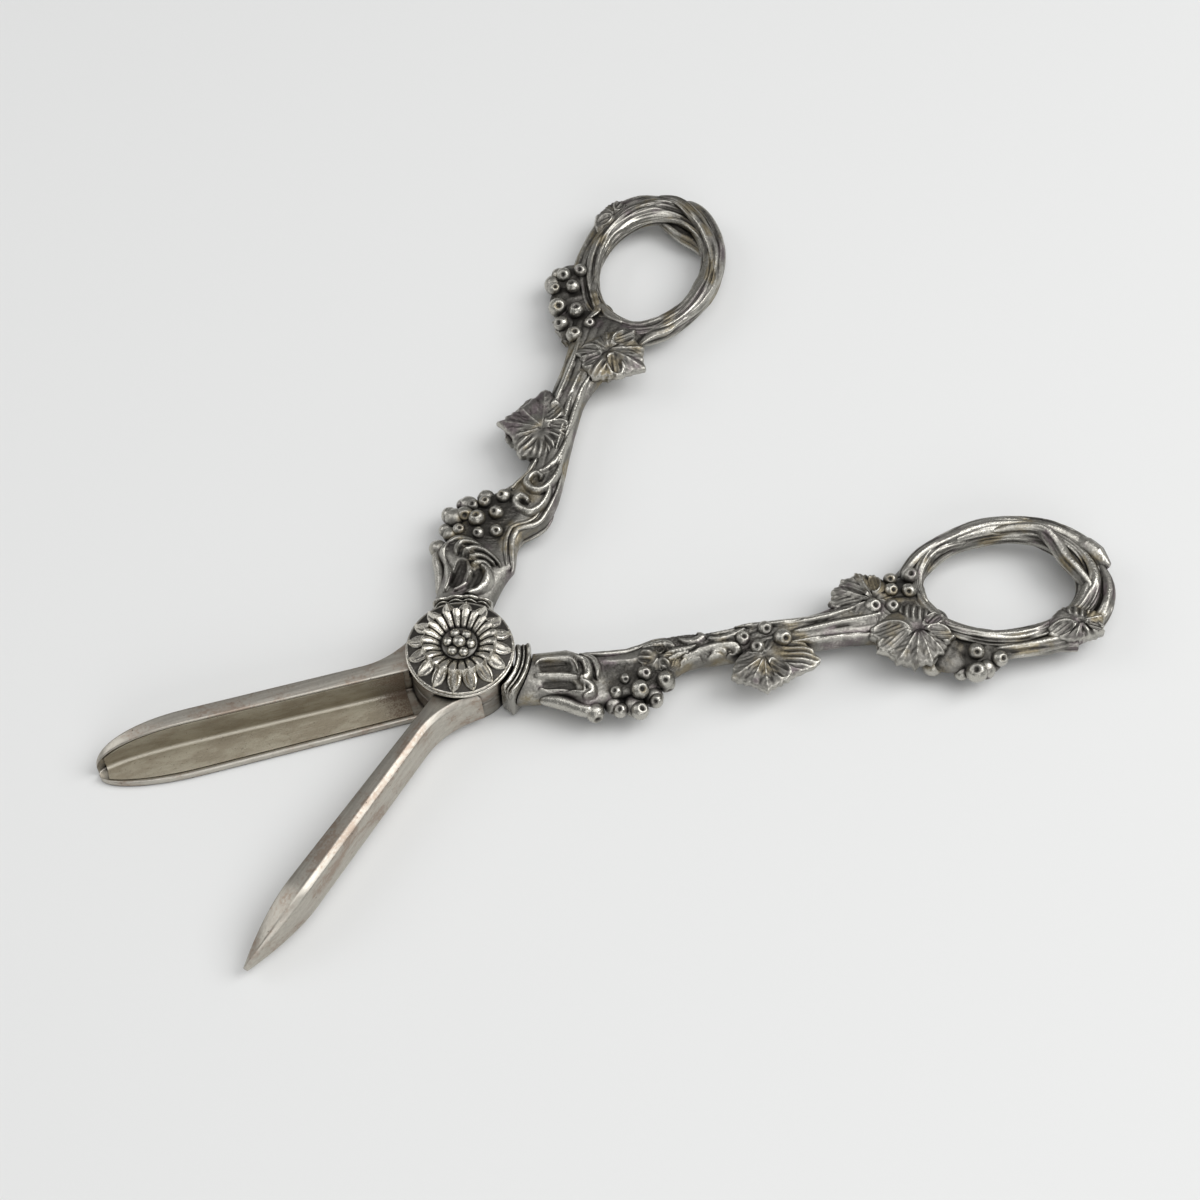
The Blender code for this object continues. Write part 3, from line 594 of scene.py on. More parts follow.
@dataclass(frozen=True)
class OldSteel:
    """Pitted lining of the gutter: olive and brown, with pale scratches and rust by the pivot."""

    angle: float
    olive: Colour = (0.40, 0.365, 0.285)
    brown: Colour = (0.29, 0.252, 0.187)
    pale: Colour = (0.62, 0.585, 0.50)
    rust: Colour = (0.105, 0.058, 0.030)
    pit: Colour = (0.035, 0.03, 0.022)
    rust_from: float = 9.0
    rust_to: float = 23.0

    def material(self, name: str) -> bpy.types.Material:
        """Build the finish.

        Cloudy noise mixes olive and brown, noise drawn out along the blade gives pale scratches,
        and rust fades out with distance from the pivot. Rust takes the metal's lustre away.

        Args:
            name: what to call the material.

        Returns:
            The material.
        """
        finish = Finish(name)
        where = finish.place(self.angle)
        clouds = finish.noise(finish.stretch(where, (0.35, 1.0, 1.0)), 0.5, 6.0, 0.65)
        scratches = finish.noise(finish.stretch(where, (0.12, 2.6, 2.6)), 1.0, 4.0, 0.7)
        grit = finish.noise(where, 3.2, 6.0, 0.7)
        along = finish.axis(where, "X")
        near = 1.0 - along.step(self.rust_from, self.rust_to)
        rust = (near * 0.9 + (grit - 0.5) * 1.6 + (clouds - 0.5) * 1.2).step(0.40, 1.0)
        base = finish.mix(clouds.step(0.36, 0.62), self.brown, self.olive)
        base = finish.mix(scratches.step(0.60, 0.78) * 0.8, base, self.pale)
        # The stored value paints a pale line along the lining's bend.
        base = finish.mix(finish.tarnish_and_painted_shade(), base, self.pale)
        base = finish.mix((1.0 - grit.step(0.30, 0.42)) * 0.75, base, self.pit)
        finish.paint("Base Color", finish.mix(rust * 0.85, base, self.rust))
        finish.paint("Metallic", 0.9 - rust * 0.8)
        finish.paint("Roughness", 0.40 + grit * 0.22 + rust * 0.2)
        finish.bump(grit + scratches * 0.5 + clouds, 0.05)
        return finish.material


@dataclass(frozen=True)
class DullBrass:
    """Plain brass of the burr, browned and scratched."""

    bright: Colour = (0.52, 0.40, 0.20)
    brown: Colour = (0.17, 0.115, 0.06)

    def material(self, name: str) -> bpy.types.Material:
        """Build the finish: noise mixes brass and brown, and hollows are brown."""
        finish = Finish(name)
        where = finish.place()
        clouds = finish.noise(where, 0.8, 5.0)
        worn_and_unshaded = finish.hollows(0.8).step(0.2, 0.9) * clouds.step(0.3, 0.62)
        finish.paint("Base Color", finish.mix(worn_and_unshaded, self.brown, self.bright))
        finish.paint("Roughness", 0.50 - worn_and_unshaded * 0.2)
        finish.bump(finish.noise(where, 4.0, 4.0), 0.015)
        return finish.material


def spin(degrees: float) -> Array:
    """Rotation about the pivot axis."""
    c, s = math.cos(math.radians(degrees)), math.sin(math.radians(degrees))
    return np.array(((c, -s, 0.0), (s, c, 0.0), (0.0, 0.0, 1.0)))


def handle_turn(half: Half) -> Array:
    """Turn of a handle: that of the gutter half lies face down."""
    if half is Half.NESTING:
        return spin(PIVOT.handle_angle)
    return spin(-PIVOT.handle_angle) @ np.diag((1.0, -1.0, -1.0))


def link(name: str, data: bpy.types.ID) -> bpy.types.Object:
    """A new object of the given data, in the scene."""
    obj = bpy.data.objects.new(name, data)
    bpy.context.scene.collection.objects.link(obj)
    return obj


def aim(obj: bpy.types.Object, place: Point, target: Point) -> None:
    """Stand a lamp or the camera at a place, facing a target."""
    obj.location = place
    obj.rotation_euler = (Vector(target) - Vector(place)).to_track_quat("-Z", "Y").to_euler()


def store_tarnish_and_painted_shade(mesh: bpy.types.Mesh, tarnish_and_painted_shade: Array) -> None:
    """Keep one value for each point on a mesh: tarnish on the casting, painted shade on the blades."""
    stored = mesh.attributes.get("tarnish_and_painted_shade") or mesh.attributes.new("tarnish_and_painted_shade", "FLOAT", "POINT")
    stored.data.foreach_set("value", tarnish_and_painted_shade.astype(np.float32))


def mesh_of(name: str, shells: list[Shell]) -> bpy.types.Mesh:
    """One mesh in metres from several shells, with their tarnish as an attribute."""
    sizes = [len(shell.points) for shell in shells]
    starts = np.cumsum([0] + sizes[:-1])
    quads = np.vstack([shell.quads + start for shell, start in zip(shells, starts)])
    triangles = np.vstack([shell.triangles + start for shell, start in zip(shells, starts)])
    caps = [(cap + start).tolist() for shell, start in zip(shells, starts) for cap in shell.caps]
    points = np.vstack([shell.points for shell in shells]) * MM
    mesh = bpy.data.meshes.new(name)
    mesh.from_pydata(points, [], quads.tolist() + triangles.tolist() + caps)
    store_tarnish_and_painted_shade(mesh, np.concatenate([shell.tarnish_and_painted_shade for shell in shells]))
    mesh.update()
    return mesh


@dataclass
class Piece:
    """A finished piece: what it is called, what it rides on and which solids it stands for."""

    name: str
    half: Half
    node: str
    slot: str
    crease: float = 48.0

    def dress(self, mesh: bpy.types.Mesh, material: bpy.types.Material) -> None:
        """Put a mesh and its finish on the shears in place of the plain solid.

        Args:
            mesh: the surface, in metres, already in its place.
            material: its finish.
        """
        mesh.materials.clear()
        mesh.materials.append(material)
        mesh.shade_smooth()
        mesh.set_sharp_from_angle(angle=math.radians(self.crease))
        obj = link(self.name, mesh)
        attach(obj, self.half.value)
        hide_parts(self.node)
        LOG.info("%s: %d faces on %s", self.name, len(mesh.polygons), self.half.value)


@dataclass(frozen=True)
class Grape:
    """A round berry with the open ring left by its blossom."""

    s: float
    t: float
    z: float
    radius: float
    rows: int = 18
    columns: int = 24

    def shell(self, tilt: Array) -> Shell:
        """Build the berry.

        The distance from its middle is the radius, plus a small ring half a radian from the
        blossom end, less a pit inside that ring. The axis points along the tilt.

        Args:
            tilt: direction of the blossom end.

        Returns:
            The berry as a shell.
        """
        polar = np.linspace(0.02, np.pi - 0.02, self.rows)
        polar = (polar - 0.45 * np.sin(polar) * np.exp(-polar))[:, None]
        angle = turns(self.columns)[None, :]
        reach = self.radius * (1.0 + 0.07 * hump(polar - 0.50, 0.14) - 0.34 * hump(polar, 0.30))
        reach = reach * (1.0 + 0.03 * np.sin(2 * angle + 3.0 * self.s) * np.sin(polar) ** 2)
        axis = unit(tilt)
        side = unit(np.cross(axis, (0.31, 0.95, 0.05)))
        up = np.cross(axis, side)
        circle = np.cos(angle)[..., None] * side + np.sin(angle)[..., None] * up
        rows = (reach * np.cos(polar))[..., None] * axis + (reach * np.sin(polar))[..., None] * circle
        tone = np.broadcast_to(1.8 * hump(polar, 0.30) + 0.05, (self.rows, self.columns))
        return skin(rows + np.array((self.s, self.t, self.z)), tone)


@dataclass(frozen=True)
class Leaf:
    """A vine leaf: tilted lobes, each of an angle, a reach and a kind, shallow gaps and a toothed edge."""

    s: float
    t: float
    face: Face
    lobes: tuple[tuple[float, float, Lobe], ...]
    crown: float = 3.3
    back: float = -0.3
    rim: float = 1.7
    notch: float = 0.05
    teeth: int = 30
    tilt: float = 0.45
    seed: float = 0.0
    hatch_pitch: float = 0.75
    rib_pitch: float = 1.15
    branch_pitch: float = 1.05
    hidden_slant: float = 0.80
    hidden_back: float = -1.0
    rows: int = 38
    columns: int = 200

    def outline(self, turn: Array) -> tuple[Array, Array]:
        """Reach of the rim and the angle from the nearest gap between lobes, by angle."""
        lobes = np.array(sorted((angle % 360.0, reach) for angle, reach, _ in self.lobes))
        angles = np.radians(np.append(lobes[:, 0], lobes[0, 0] + 360.0))
        reaches = np.append(lobes[:, 1], lobes[0, 1])
        turn = (turn - angles[0]) % (2 * np.pi) + angles[0]
        place = np.interp(turn, angles, np.arange(len(angles)))
        span = np.minimum(place.astype(int), len(lobes) - 1)
        share = place - span
        rim = np.interp(turn, angles, reaches) * (1.0 - self.notch * np.sin(np.pi * share) ** 0.75)
        saw = 2.0 * np.abs((turn * self.teeth / (2 * np.pi)) % 1.0 - 0.5)
        uneven = 0.5 + 0.5 * np.sin(5.0 * turn + self.seed)
        return rim * (0.96 + (0.02 + 0.05 * uneven) * saw), np.abs(share - 0.5) * np.diff(angles)[span]

    def carving(self, reach: Array, turn: Array) -> tuple[Array, Array]:
        """Relief of the lobes in millimetres, and how bright it is rubbed.

        Every point belongs to the lobe whose middle line is nearest in angle, and has a distance along
        and across that line. A looped lobe has a raised ellipse round a hatched hollow, a ridged one
        has ribs beside its middle line, and a plain one a vein with branches. Each leans to one side.

        Args:
            reach: distance from the leaf's middle.
            turn: angle round the leaf, as a row.

        Returns:
            The relief and the brightness, on the grid of the reach.
        """
        lobes = np.array([lobe for lobe in self.lobes if lobe[2] is not Lobe.POINT])
        apart = (turn - np.radians(lobes[:, :1]) + np.pi) % (2 * np.pi) - np.pi
        lobe = np.abs(apart).argmin(axis=0)
        off = np.take_along_axis(apart, lobe[None, :], axis=0)
        size, kind = lobes[lobe, 1][None, :], lobes[lobe, 2].astype(int)[None, :]
        along, across = reach * np.cos(off), reach * np.sin(off)
        place = along / size
        oval = np.hypot((place - 0.58) / 0.36, across / (0.16 * size + 0.30))
        loop = hump(oval - 1.0, 0.17)
        inside = 1.0 - smooth_step(0.7, 1.0, oval)
        hatch = np.cos(2 * np.pi * (across + 0.25 * along) / self.hatch_pitch)
        far = smooth_step(0.22, 0.5, place)
        rib = np.cos(2 * np.pi * (across + 0.15 * np.sin(along + self.seed)) / self.rib_pitch) * far
        branch = np.cos(2 * np.pi * (0.75 * along - np.abs(across)) / self.branch_pitch) * far
        vein = hump(across, 0.17) * window((0.08, 0.2, 0.75, 0.95), place)
        looped = 0.34 * loop - inside * (0.16 - 0.07 * hatch)
        ridged = 0.15 * rib - 0.05
        plain = 0.045 * branch + 0.17 * vein - 0.08
        lean = self.tilt * np.sin(2.1 * lobe + 2.7 * self.seed)[None, :] * np.clip(off, -0.5, 0.5) * far
        relief = np.choose(kind, (looped, ridged, plain)) + lean
        bright = np.choose(kind, (loop + 0.12 * inside * hatch, 0.55 * rib, 0.7 * vein + 0.10 * branch))
        return relief, np.clip(bright, -1.0, 1.0)

    def shell(self, size: float) -> Shell:
        """Build the leaf as a lens.

        The top is a crown that falls a little outwards, plus the carving of the lobes and a slow warp,
        less a groove in the outer part of each gap. It falls to the rim at the edge. The underside is
        flat. The flank of a leaf on the hidden face slants in towards its top.

        Args:
            size: share of the leaf's reach that is used. A smaller one runs down to the leaf behind it.

        Returns:
            The leaf as a shell, its top towards its face of the casting.
        """
        turn = turns(self.columns)[None, :]
        rim, side = self.outline(turn)
        rim = size * rim
        share = np.linspace(0.03, 1.0, self.rows)[:, None]
        slant, back = (1.0, self.back) if size == 1.0 else (self.hidden_slant, self.hidden_back)
        reach = share * slant * rim
        relief, bright = self.carving(reach, turn)
        gap = hump(reach * np.sin(np.minimum(side, np.pi / 2)), 0.24) * smooth_step(0.35, 0.75, share)
        x, y = reach * np.cos(turn), reach * np.sin(turn)
        warp = np.sin(0.9 * x + self.seed) * np.sin(0.8 * y + 2.0 * self.seed)
        middle = self.crown - 0.30 - 0.30 * (self.crown - self.rim) * share**2
        relief = relief - 0.14 * gap + 0.22 * warp - 0.40 * hump(share, 0.12)
        top = self.rim + (middle + relief - self.rim) * (1.0 - share**12)
        edge = np.array((0.6 * slant + 0.41, 1.0, 0.97, 0.6, 0.2))[:, None]
        lower = np.array((0.55, 0.15, 0.0, 0.0, 0.0))[:, None] * (self.rim - back) + back
        reach = np.vstack((reach, edge * rim))
        height = np.vstack((top, np.broadcast_to(lower, (len(lower), self.columns))))
        rows = around(reach, turn, height * self.face.value) + np.array((self.s, self.t, 0.0))
        tone = np.clip(0.64 - 0.85 * bright + 0.2 * gap, 0.0, 1.0)
        tone = tone * (1.0 - 0.8 * smooth_step(0.90, 1.0, share))
        tone = np.vstack((tone, np.full((len(lower), self.columns), 0.2)))
        return skin(rows, tone)


@dataclass(frozen=True)
class Strand:
    """A raised line on one face: a tendril, scroll, moulding or strip of bark.

    It lies lift above the ground, is flat times as high as wide, has bark of the depth groove and
    tapers to the shares start and end of its radius.
    """

    face: Face
    kind: Relief
    radius: float
    path: Path
    lift: float = 0.0
    flat: float = 0.8
    groove: float = 0.10
    start: float = 0.6
    end: float = 0.6


def strands(face: Face, kind: Relief, rows: tuple[tuple, ...]) -> tuple[Strand, ...]:
    """Strands of one face, from rows of a radius, a path and whatever differs from the usual."""
    return tuple(Strand(face, kind, *row) for row in rows)


def grapes(rows: Path) -> tuple[Grape, ...]:
    """Grapes from rows of a place and a radius."""
    return tuple(Grape(*row) for row in rows)


STRANDS = (
    strands(Face.FRONT, Relief.RIDGE, (
        (0.65, ((21.2, 11.6), (22.8, 10.5), (23.3, 8.6), (23.0, 6.4)), 0.2),
        (0.62, ((18.8, 8.6), (20.6, 9.4), (22.2, 9.0), (22.7, 7.4), (22.4, 5.0)), 0.4, 1.0),
        (0.62, ((18.9, 7.4), (20.4, 7.6), (21.5, 6.7), (21.9, 5.0), (21.0, 2.6), (19.6, 0.6)), 0.45, 1.0),
        (0.6, ((18.6, 5.9), (19.5, 6.0), (20.2, 5.0), (20.2, 3.6), (19.3, 1.6)), 0.4, 1.0),
        (0.55, ((17.6, 5.0), (18.4, 4.8), (18.9, 3.9), (18.9, 3.0), (18.2, 1.8)), 0.3, 1.0),
        (0.55, ((18.2, 6.4), (17.2, 5.6), (15.8, 4.9), (14.3, 4.6), (12.8, 5.2), (11.6, 6.2)), 0.25),
        (1.0, ((18.2, 3.6), (17.4, 2.3), (15.6, 1.6), (14.0, 2.0), (12.4, 3.0), (11.4, 3.8)), 0.2),
        (0.7, ((21.8, 11.3), (20.2, 11.6), (18.4, 11.4), (17.0, 10.4), (15.6, 9.0), (13.6, 8.1),
               (11.2, 7.8)), 0.3),
        (0.78, ((44.5, -1.2), (42.4, -1.4), (40.0, -1.1), (37.8, -0.2), (37.1, 1.4), (38.0, 2.9),
                (39.5, 3.1), (40.6, 2.3), (40.4, 1.1), (39.4, 0.9)), 0.35, 1.0),
        (0.78, ((39.6, -1.0), (37.0, -1.5), (34.4, -1.1), (32.6, 0.2), (32.8, 2.2), (34.0, 3.6),
                (35.2, 3.0), (34.8, 1.7), (34.0, 1.4)), 0.35, 1.0),
        (0.6, ((40.8, 2.4), (43.0, 0.6), (47.0, -0.3), (52.0, 0.0)), 0.15),
        (0.55, ((36.0, 5.2), (38.6, 4.9), (41.4, 3.8), (44.0, 3.4)), 0.2),
        (0.6, ((41.0, -1.6), (48.0, -0.5), (55.0, 0.6), (61.0, 1.3), (66.0, 1.2)), 0.05),
        (0.5, ((47.0, 0.8), (54.0, 1.9), (60.0, 2.9), (66.0, 3.2)), 0.05),
        (0.55, ((52.0, 4.0), (58.0, 5.0), (64.0, 5.4), (70.0, 5.8), (75.0, 6.8)), 0.15),
    ))
    + strands(Face.FRONT, Relief.TUBE, (
        (0.6, ((19.8, -1.3), (22.0, -0.8), (24.0, -0.5), (26.0, -0.3), (28.0, -0.3), (29.2, -0.6),
               (30.4, -1.4), (32.0, -2.0), (35.0, -2.4), (39.0, -2.4), (43.5, -1.8)), 0.15),
        (0.42, ((20.4, 0.0), (22.0, 0.4), (24.0, 0.8), (26.0, 1.0), (28.0, 1.0), (29.5, 0.5),
                (31.0, -0.5), (33.0, -1.1), (36.0, -1.3)), 0.1),
        (0.9, ((76.0, -4.6), (79.4, -6.2), (82.0, -8.6), (86.0, -10.4)), 0.9, 0.9, 0.24),
        (0.8, ((78.0, 6.4), (81.2, 5.6), (83.0, 6.4), (86.5, 8.4), (91.0, 9.3)), 0.55, 0.9, 0.24),
    ))
    + strands(Face.BACK, Relief.RIDGE, (
        (0.45, ((12.2, 3.6), (13.0, 2.7), (14.2, 2.3), (17.9, 2.6), (19.0, 3.3), (19.2, 5.9)), 0.2),
        (0.6, ((11.8, 5.9), (13.9, 6.3), (16.8, 6.8), (19.2, 7.6)), 0.25),
        (0.5, ((12.2, 8.5), (14.4, 8.9), (16.4, 9.4), (18.2, 10.2), (19.6, 10.4), (19.8, 9.2)), 0.2),
        (0.85, ((19.0, 2.3), (20.6, 2.4), (21.0, 5.1), (20.6, 7.4), (19.2, 8.0)), 0.4, 1.0),
        (0.7, ((20.3, 0.3), (22.0, 1.7), (22.6, 5.0), (22.2, 8.0)), 0.3, 1.0),
        (0.8, ((19.2, 8.4), (20.8, 9.2), (20.9, 10.6), (19.4, 11.4)), 0.4, 1.0),
        (0.75, ((31.0, -1.2), (33.0, -1.8), (35.0, -1.1), (36.2, 0.9)), 0.1, 0.7),
        (0.7, ((37.4, -1.4), (38.4, -0.1), (39.8, 0.3), (41.1, -0.4), (41.4, -1.9),
               (40.8, -2.5)), 0.15, 0.7),
        (0.75, ((37.2, 5.0), (39.2, 4.4), (41.2, 3.5), (43.6, 3.3), (46.0, 4.1), (46.9, 5.6), (46.2, 6.9),
                (45.2, 6.2)), 0.15, 0.7),
        (0.6, ((36.8, 7.8), (37.5, 6.1), (39.0, 5.4), (40.2, 6.5), (40.1, 7.8)), 0.1, 0.7),
        (0.65, ((42.2, 0.4), (44.4, 1.5), (46.6, 1.3), (49.0, 0.8)), 0.1, 0.7),
        (0.55, ((41.6, 6.3), (43.2, 5.8), (44.6, 7.4)), 0.1, 0.7),
        (0.55, ((34.4, 2.7), (36.4, 2.2), (38.4, 2.4), (40.0, 1.9)), 0.12),
        (0.5, ((34.8, 4.8), (36.4, 3.8), (38.6, 3.5)), 0.1),
        (0.5, ((42.4, 4.9), (44.0, 4.5), (44.9, 5.5)), 0.1, 0.7),
        (0.5, ((43.0, -0.9), (45.0, -0.4), (47.2, 0.2)), 0.1, 0.7),
        (0.75, ((47.0, -0.6), (53.0, 0.6), (59.0, 1.6), (64.0, 2.0), (69.0, 1.4)), 0.05),
        (0.6, ((57.0, 4.0), (62.0, 4.0), (68.0, 3.8), (73.0, 3.6)), 0.05),
        (0.6, ((56.0, 6.0), (62.0, 6.4), (68.0, 6.8), (74.0, 7.4)), 0.15),
    ))
    + strands(Face.BACK, Relief.TUBE, (
        (1.15, ((12.0, 9.3), (14.2, 9.9), (16.4, 10.9), (18.6, 12.3),
                (20.8, 13.2)), -0.7, 1.3, 0.0, 0.7, 1.0),
        (0.55, ((20.0, -0.2), (22.0, -0.2), (25.0, -0.5), (28.0, -1.3), (30.5, -2.2), (33.0, -2.9),
                (35.5, -3.1)), 0.2),
        (0.9, ((80.0, -3.6), (83.0, -6.6), (87.0, -8.8), (92.0, -9.6)), 0.6, 0.9, 0.24),
    ))
)

FRONT_GRAPES = grapes((
    (34.3, 6.0, 2.5, 1.35), (32.0, 8.7, 2.4, 1.2), (28.6, 11.2, 1.7, 1.55), (28.0, 8.6, 2.7, 1.55),
    (30.4, 5.9, 2.6, 1.35), (26.8, 4.4, 2.5, 1.25), (25.0, 10.9, 1.9, 1.2), (25.3, 7.2, 2.4, 1.15),
    (31.0, 10.6, 1.6, 1.3), (84.4, 15.6, 1.4, 1.3), (88.0, 15.0, 1.7, 1.55), (85.3, 12.1, 2.5, 1.35),
    (89.8, 12.2, 2.3, 1.35), (80.0, 13.2, 1.7, 1.85), (79.9, 9.3, 2.5, 1.55), (76.2, 11.0, 1.9, 1.5),
    (74.2, 7.6, 2.4, 1.6), (77.6, 5.8, 2.6, 1.2),
))

BACK_GRAPES = grapes((
    (26.9, 8.6, -2.5, 0.95), (30.3, 8.2, -2.6, 1.3), (25.0, 10.7, -2.2, 1.15), (29.0, 11.0, -2.4, 1.65),
    (33.6, 9.6, -2.0, 1.5), (25.2, 13.6, -0.8, 1.3), (28.4, 14.2, -0.8, 1.6), (31.5, 12.8, -0.9, 1.3),
    (52.4, 2.9, -2.6, 1.4), (48.2, 4.2, -2.6, 1.4), (50.4, 6.3, -2.6, 1.4), (55.0, 5.2, -2.6, 1.7),
    (76.2, -3.4, -2.5, 1.2), (80.0, -3.7, -2.1, 1.55), (75.7, -1.0, -2.7, 1.35), (78.8, -0.4, -2.7, 1.35),
    (71.8, 1.7, -2.5, 1.7), (75.1, 2.3, -2.7, 1.4), (87.2, 13.4, -2.4, 1.45), (91.0, 15.0, -1.6, 1.45),
    (86.6, 16.6, -1.0, 1.9),
))

EDGE_GRAPES = grapes((
    (24.2, 12.0, 0.2, 1.6), (27.7, 12.7, 0.4, 1.9), (31.2, 11.6, 0.3, 1.8), (33.9, 9.3, 0.2, 1.6),
    (79.8, 12.4, 0.1, 1.6), (88.4, 16.0, 0.0, 1.8),
))

LOOPED, RIDGED, PLAIN, POINT = Lobe
LEAVES = (
    Leaf(50.5, 4.8, Face.FRONT, crown=3.5, back=0.7, rim=2.0, seed=0.6, lobes=(
        (18.0, 10.2, PLAIN), (39.0, 7.8, POINT), (60.0, 7.2, PLAIN), (78.0, 7.4, POINT),
        (97.0, 8.8, PLAIN), (112.0, 6.7, POINT), (128.0, 6.0, PLAIN), (145.0, 6.2, POINT),
        (162.0, 7.2, RIDGED), (196.0, 6.8, RIDGED), (228.0, 5.0, RIDGED), (-6.0, 7.6, LOOPED),
        (-56.0, 5.2, LOOPED), (-100.0, 4.4, RIDGED),
    )),
    Leaf(72.0, 0.0, Face.FRONT, crown=3.9, back=1.3, rim=2.5, seed=2.2, lobes=(
        (66.0, 4.2, PLAIN), (92.0, 5.0, POINT), (116.0, 6.6, LOOPED), (134.0, 5.6, POINT),
        (150.0, 6.4, LOOPED), (176.0, 7.4, RIDGED), (200.0, 5.9, POINT), (222.0, 6.6, LOOPED),
        (242.0, 7.0, POINT), (260.0, 8.6, PLAIN), (279.0, 6.8, POINT), (298.0, 7.2, PLAIN),
        (315.0, 6.2, POINT), (-26.0, 7.6, LOOPED), (-4.0, 5.8, POINT), (24.0, 5.0, PLAIN),
    )),
    Leaf(51.2, 8.2, Face.BACK, crown=2.9, back=0.6, rim=1.9, notch=0.04, seed=1.1, lobes=(
        (98.0, 7.0, PLAIN), (78.0, 6.0, POINT), (57.0, 6.2, LOOPED), (38.0, 7.0, POINT),
        (17.0, 9.8, RIDGED), (124.0, 6.0, PLAIN), (152.0, 7.2, PLAIN), (204.0, 3.6, PLAIN),
        (270.0, 2.6, PLAIN),
    )),
    Leaf(72.2, 0.4, Face.BACK, crown=3.2, back=0.6, rim=2.0, notch=0.1, teeth=44, seed=3.0, lobes=(
        (166.0, 8.2, PLAIN), (186.0, 8.0, LOOPED), (208.0, 7.6, PLAIN), (230.0, 7.2, LOOPED),
        (256.0, 6.6, PLAIN), (284.0, 5.6, LOOPED), (20.0, 4.0, PLAIN),
    )),
    Leaf(78.4, 7.6, Face.BACK, crown=3.5, back=0.8, rim=2.1, notch=0.11, seed=4.4, lobes=(
        (184.0, 8.8, LOOPED), (160.0, 8.8, LOOPED), (132.0, 8.0, PLAIN), (108.0, 7.8, PLAIN),
        (84.0, 7.2, PLAIN), (58.0, 6.4, PLAIN), (24.0, 6.6, LOOPED), (-22.0, 5.6, LOOPED),
        (-70.0, 5.0, RIDGED),
    )),
    Leaf(106.4, 10.8, Face.BACK, crown=3.0, rim=1.6, notch=0.08, seed=5.0, teeth=24, lobes=(
        (168.0, 6.2, LOOPED), (120.0, 3.6, PLAIN), (75.0, 3.0, RIDGED), (30.0, 4.4, LOOPED),
        (-8.0, 5.0, PLAIN), (-62.0, 3.2, RIDGED),
    )),
    Leaf(33.2, 5.4, Face.BACK, crown=2.9, rim=1.9, seed=0.2, teeth=16, rows=26, columns=140, lobes=(
        (190.0, 3.8, RIDGED), (128.0, 2.6, PLAIN), (48.0, 2.6, RIDGED), (0.0, 3.0, RIDGED),
        (-66.0, 2.4, LOOPED),
    )),
    Leaf(106.0, 11.0, Face.FRONT, crown=2.8, rim=1.2, seed=3.7, teeth=24, rows=26, columns=140, lobes=(
        (150.0, 4.6, LOOPED), (70.0, 3.0, PLAIN), (0.0, 4.4, LOOPED), (-60.0, 2.4, RIDGED),
    )),
)

WAIST_A = (
    (12.2, 1.3, 0.0), (18.0, 1.5, 0.0), (20.5, 3.4, 0.0), (28.0, 4.6, 0.0), (33.0, 4.5, 0.2),
    (37.0, 4.3, 1.2), (42.0, 4.0, 2.4), (46.0, 3.0, 2.2), (50.0, 2.0, 1.2), (60.0, 0.8, 0.3),
    (66.0, 0.0, 0.0),
)
WAIST_B = (
    (21.0, 0.0, 0.0), (23.5, 0.9, 0.0), (26.0, 1.7, 0.0), (28.5, 1.8, 0.0), (30.5, 0.4, 0.0),
    (32.0, 0.0, 0.0),
)

# A twig is its radius, its share of that at the end, the depth of its bark and its path.
TWIGS = (
    (2.0, 0.95, 0.24, ((78.5, -4.2, -0.8), (83.0, -8.0, -0.9), (88.5, -10.3, -0.8), (95.0, -11.9, -0.7),
        (101.0, -11.6, -0.7), (107.0, -9.8, -0.6), (111.4, -6.6, -0.3), (113.6, -3.6, 0.0),
        (114.4, -0.4, 0.0))),
    (1.45, 0.7, 0.22, ((96.0, -10.6, -1.5), (101.5, -10.3, -1.9), (105.2, -9.2, -2.0),
        (106.9, -6.6, -1.7), (107.9, -3.0, -1.4), (109.6, 0.6, -1.2), (110.6, 3.6, -0.8),
        (109.4, 6.6, -0.4))),
    (1.85, 0.8, 0.26, ((113.6, -2.6, 0.0), (114.2, 2.0, 0.0), (113.0, 6.0, 0.0), (110.6, 9.2, 0.2),
        (106.4, 11.8, 0.2), (101.0, 12.9, 0.1), (95.5, 13.2, 0.0), (90.5, 13.0, 0.0))),
    (1.35, 0.6, 0.26, ((113.6, 4.8, 1.4), (113.6, 0.6, 1.9), (111.2, -3.6, 2.0), (107.6, -7.6, 1.7),
        (103.0, -10.6, 1.2), (97.0, -12.2, 0.8))),
    (1.5, 0.95, 0.12, ((100.0, 11.6, 0.8), (103.2, 12.9, 0.6), (105.8, 13.6, 0.3))),
    (2.05, 0.35, 0.1, ((110.6, -7.4, -0.6), (113.2, -4.2, -0.5), (115.6, -0.4, -0.3))),
)


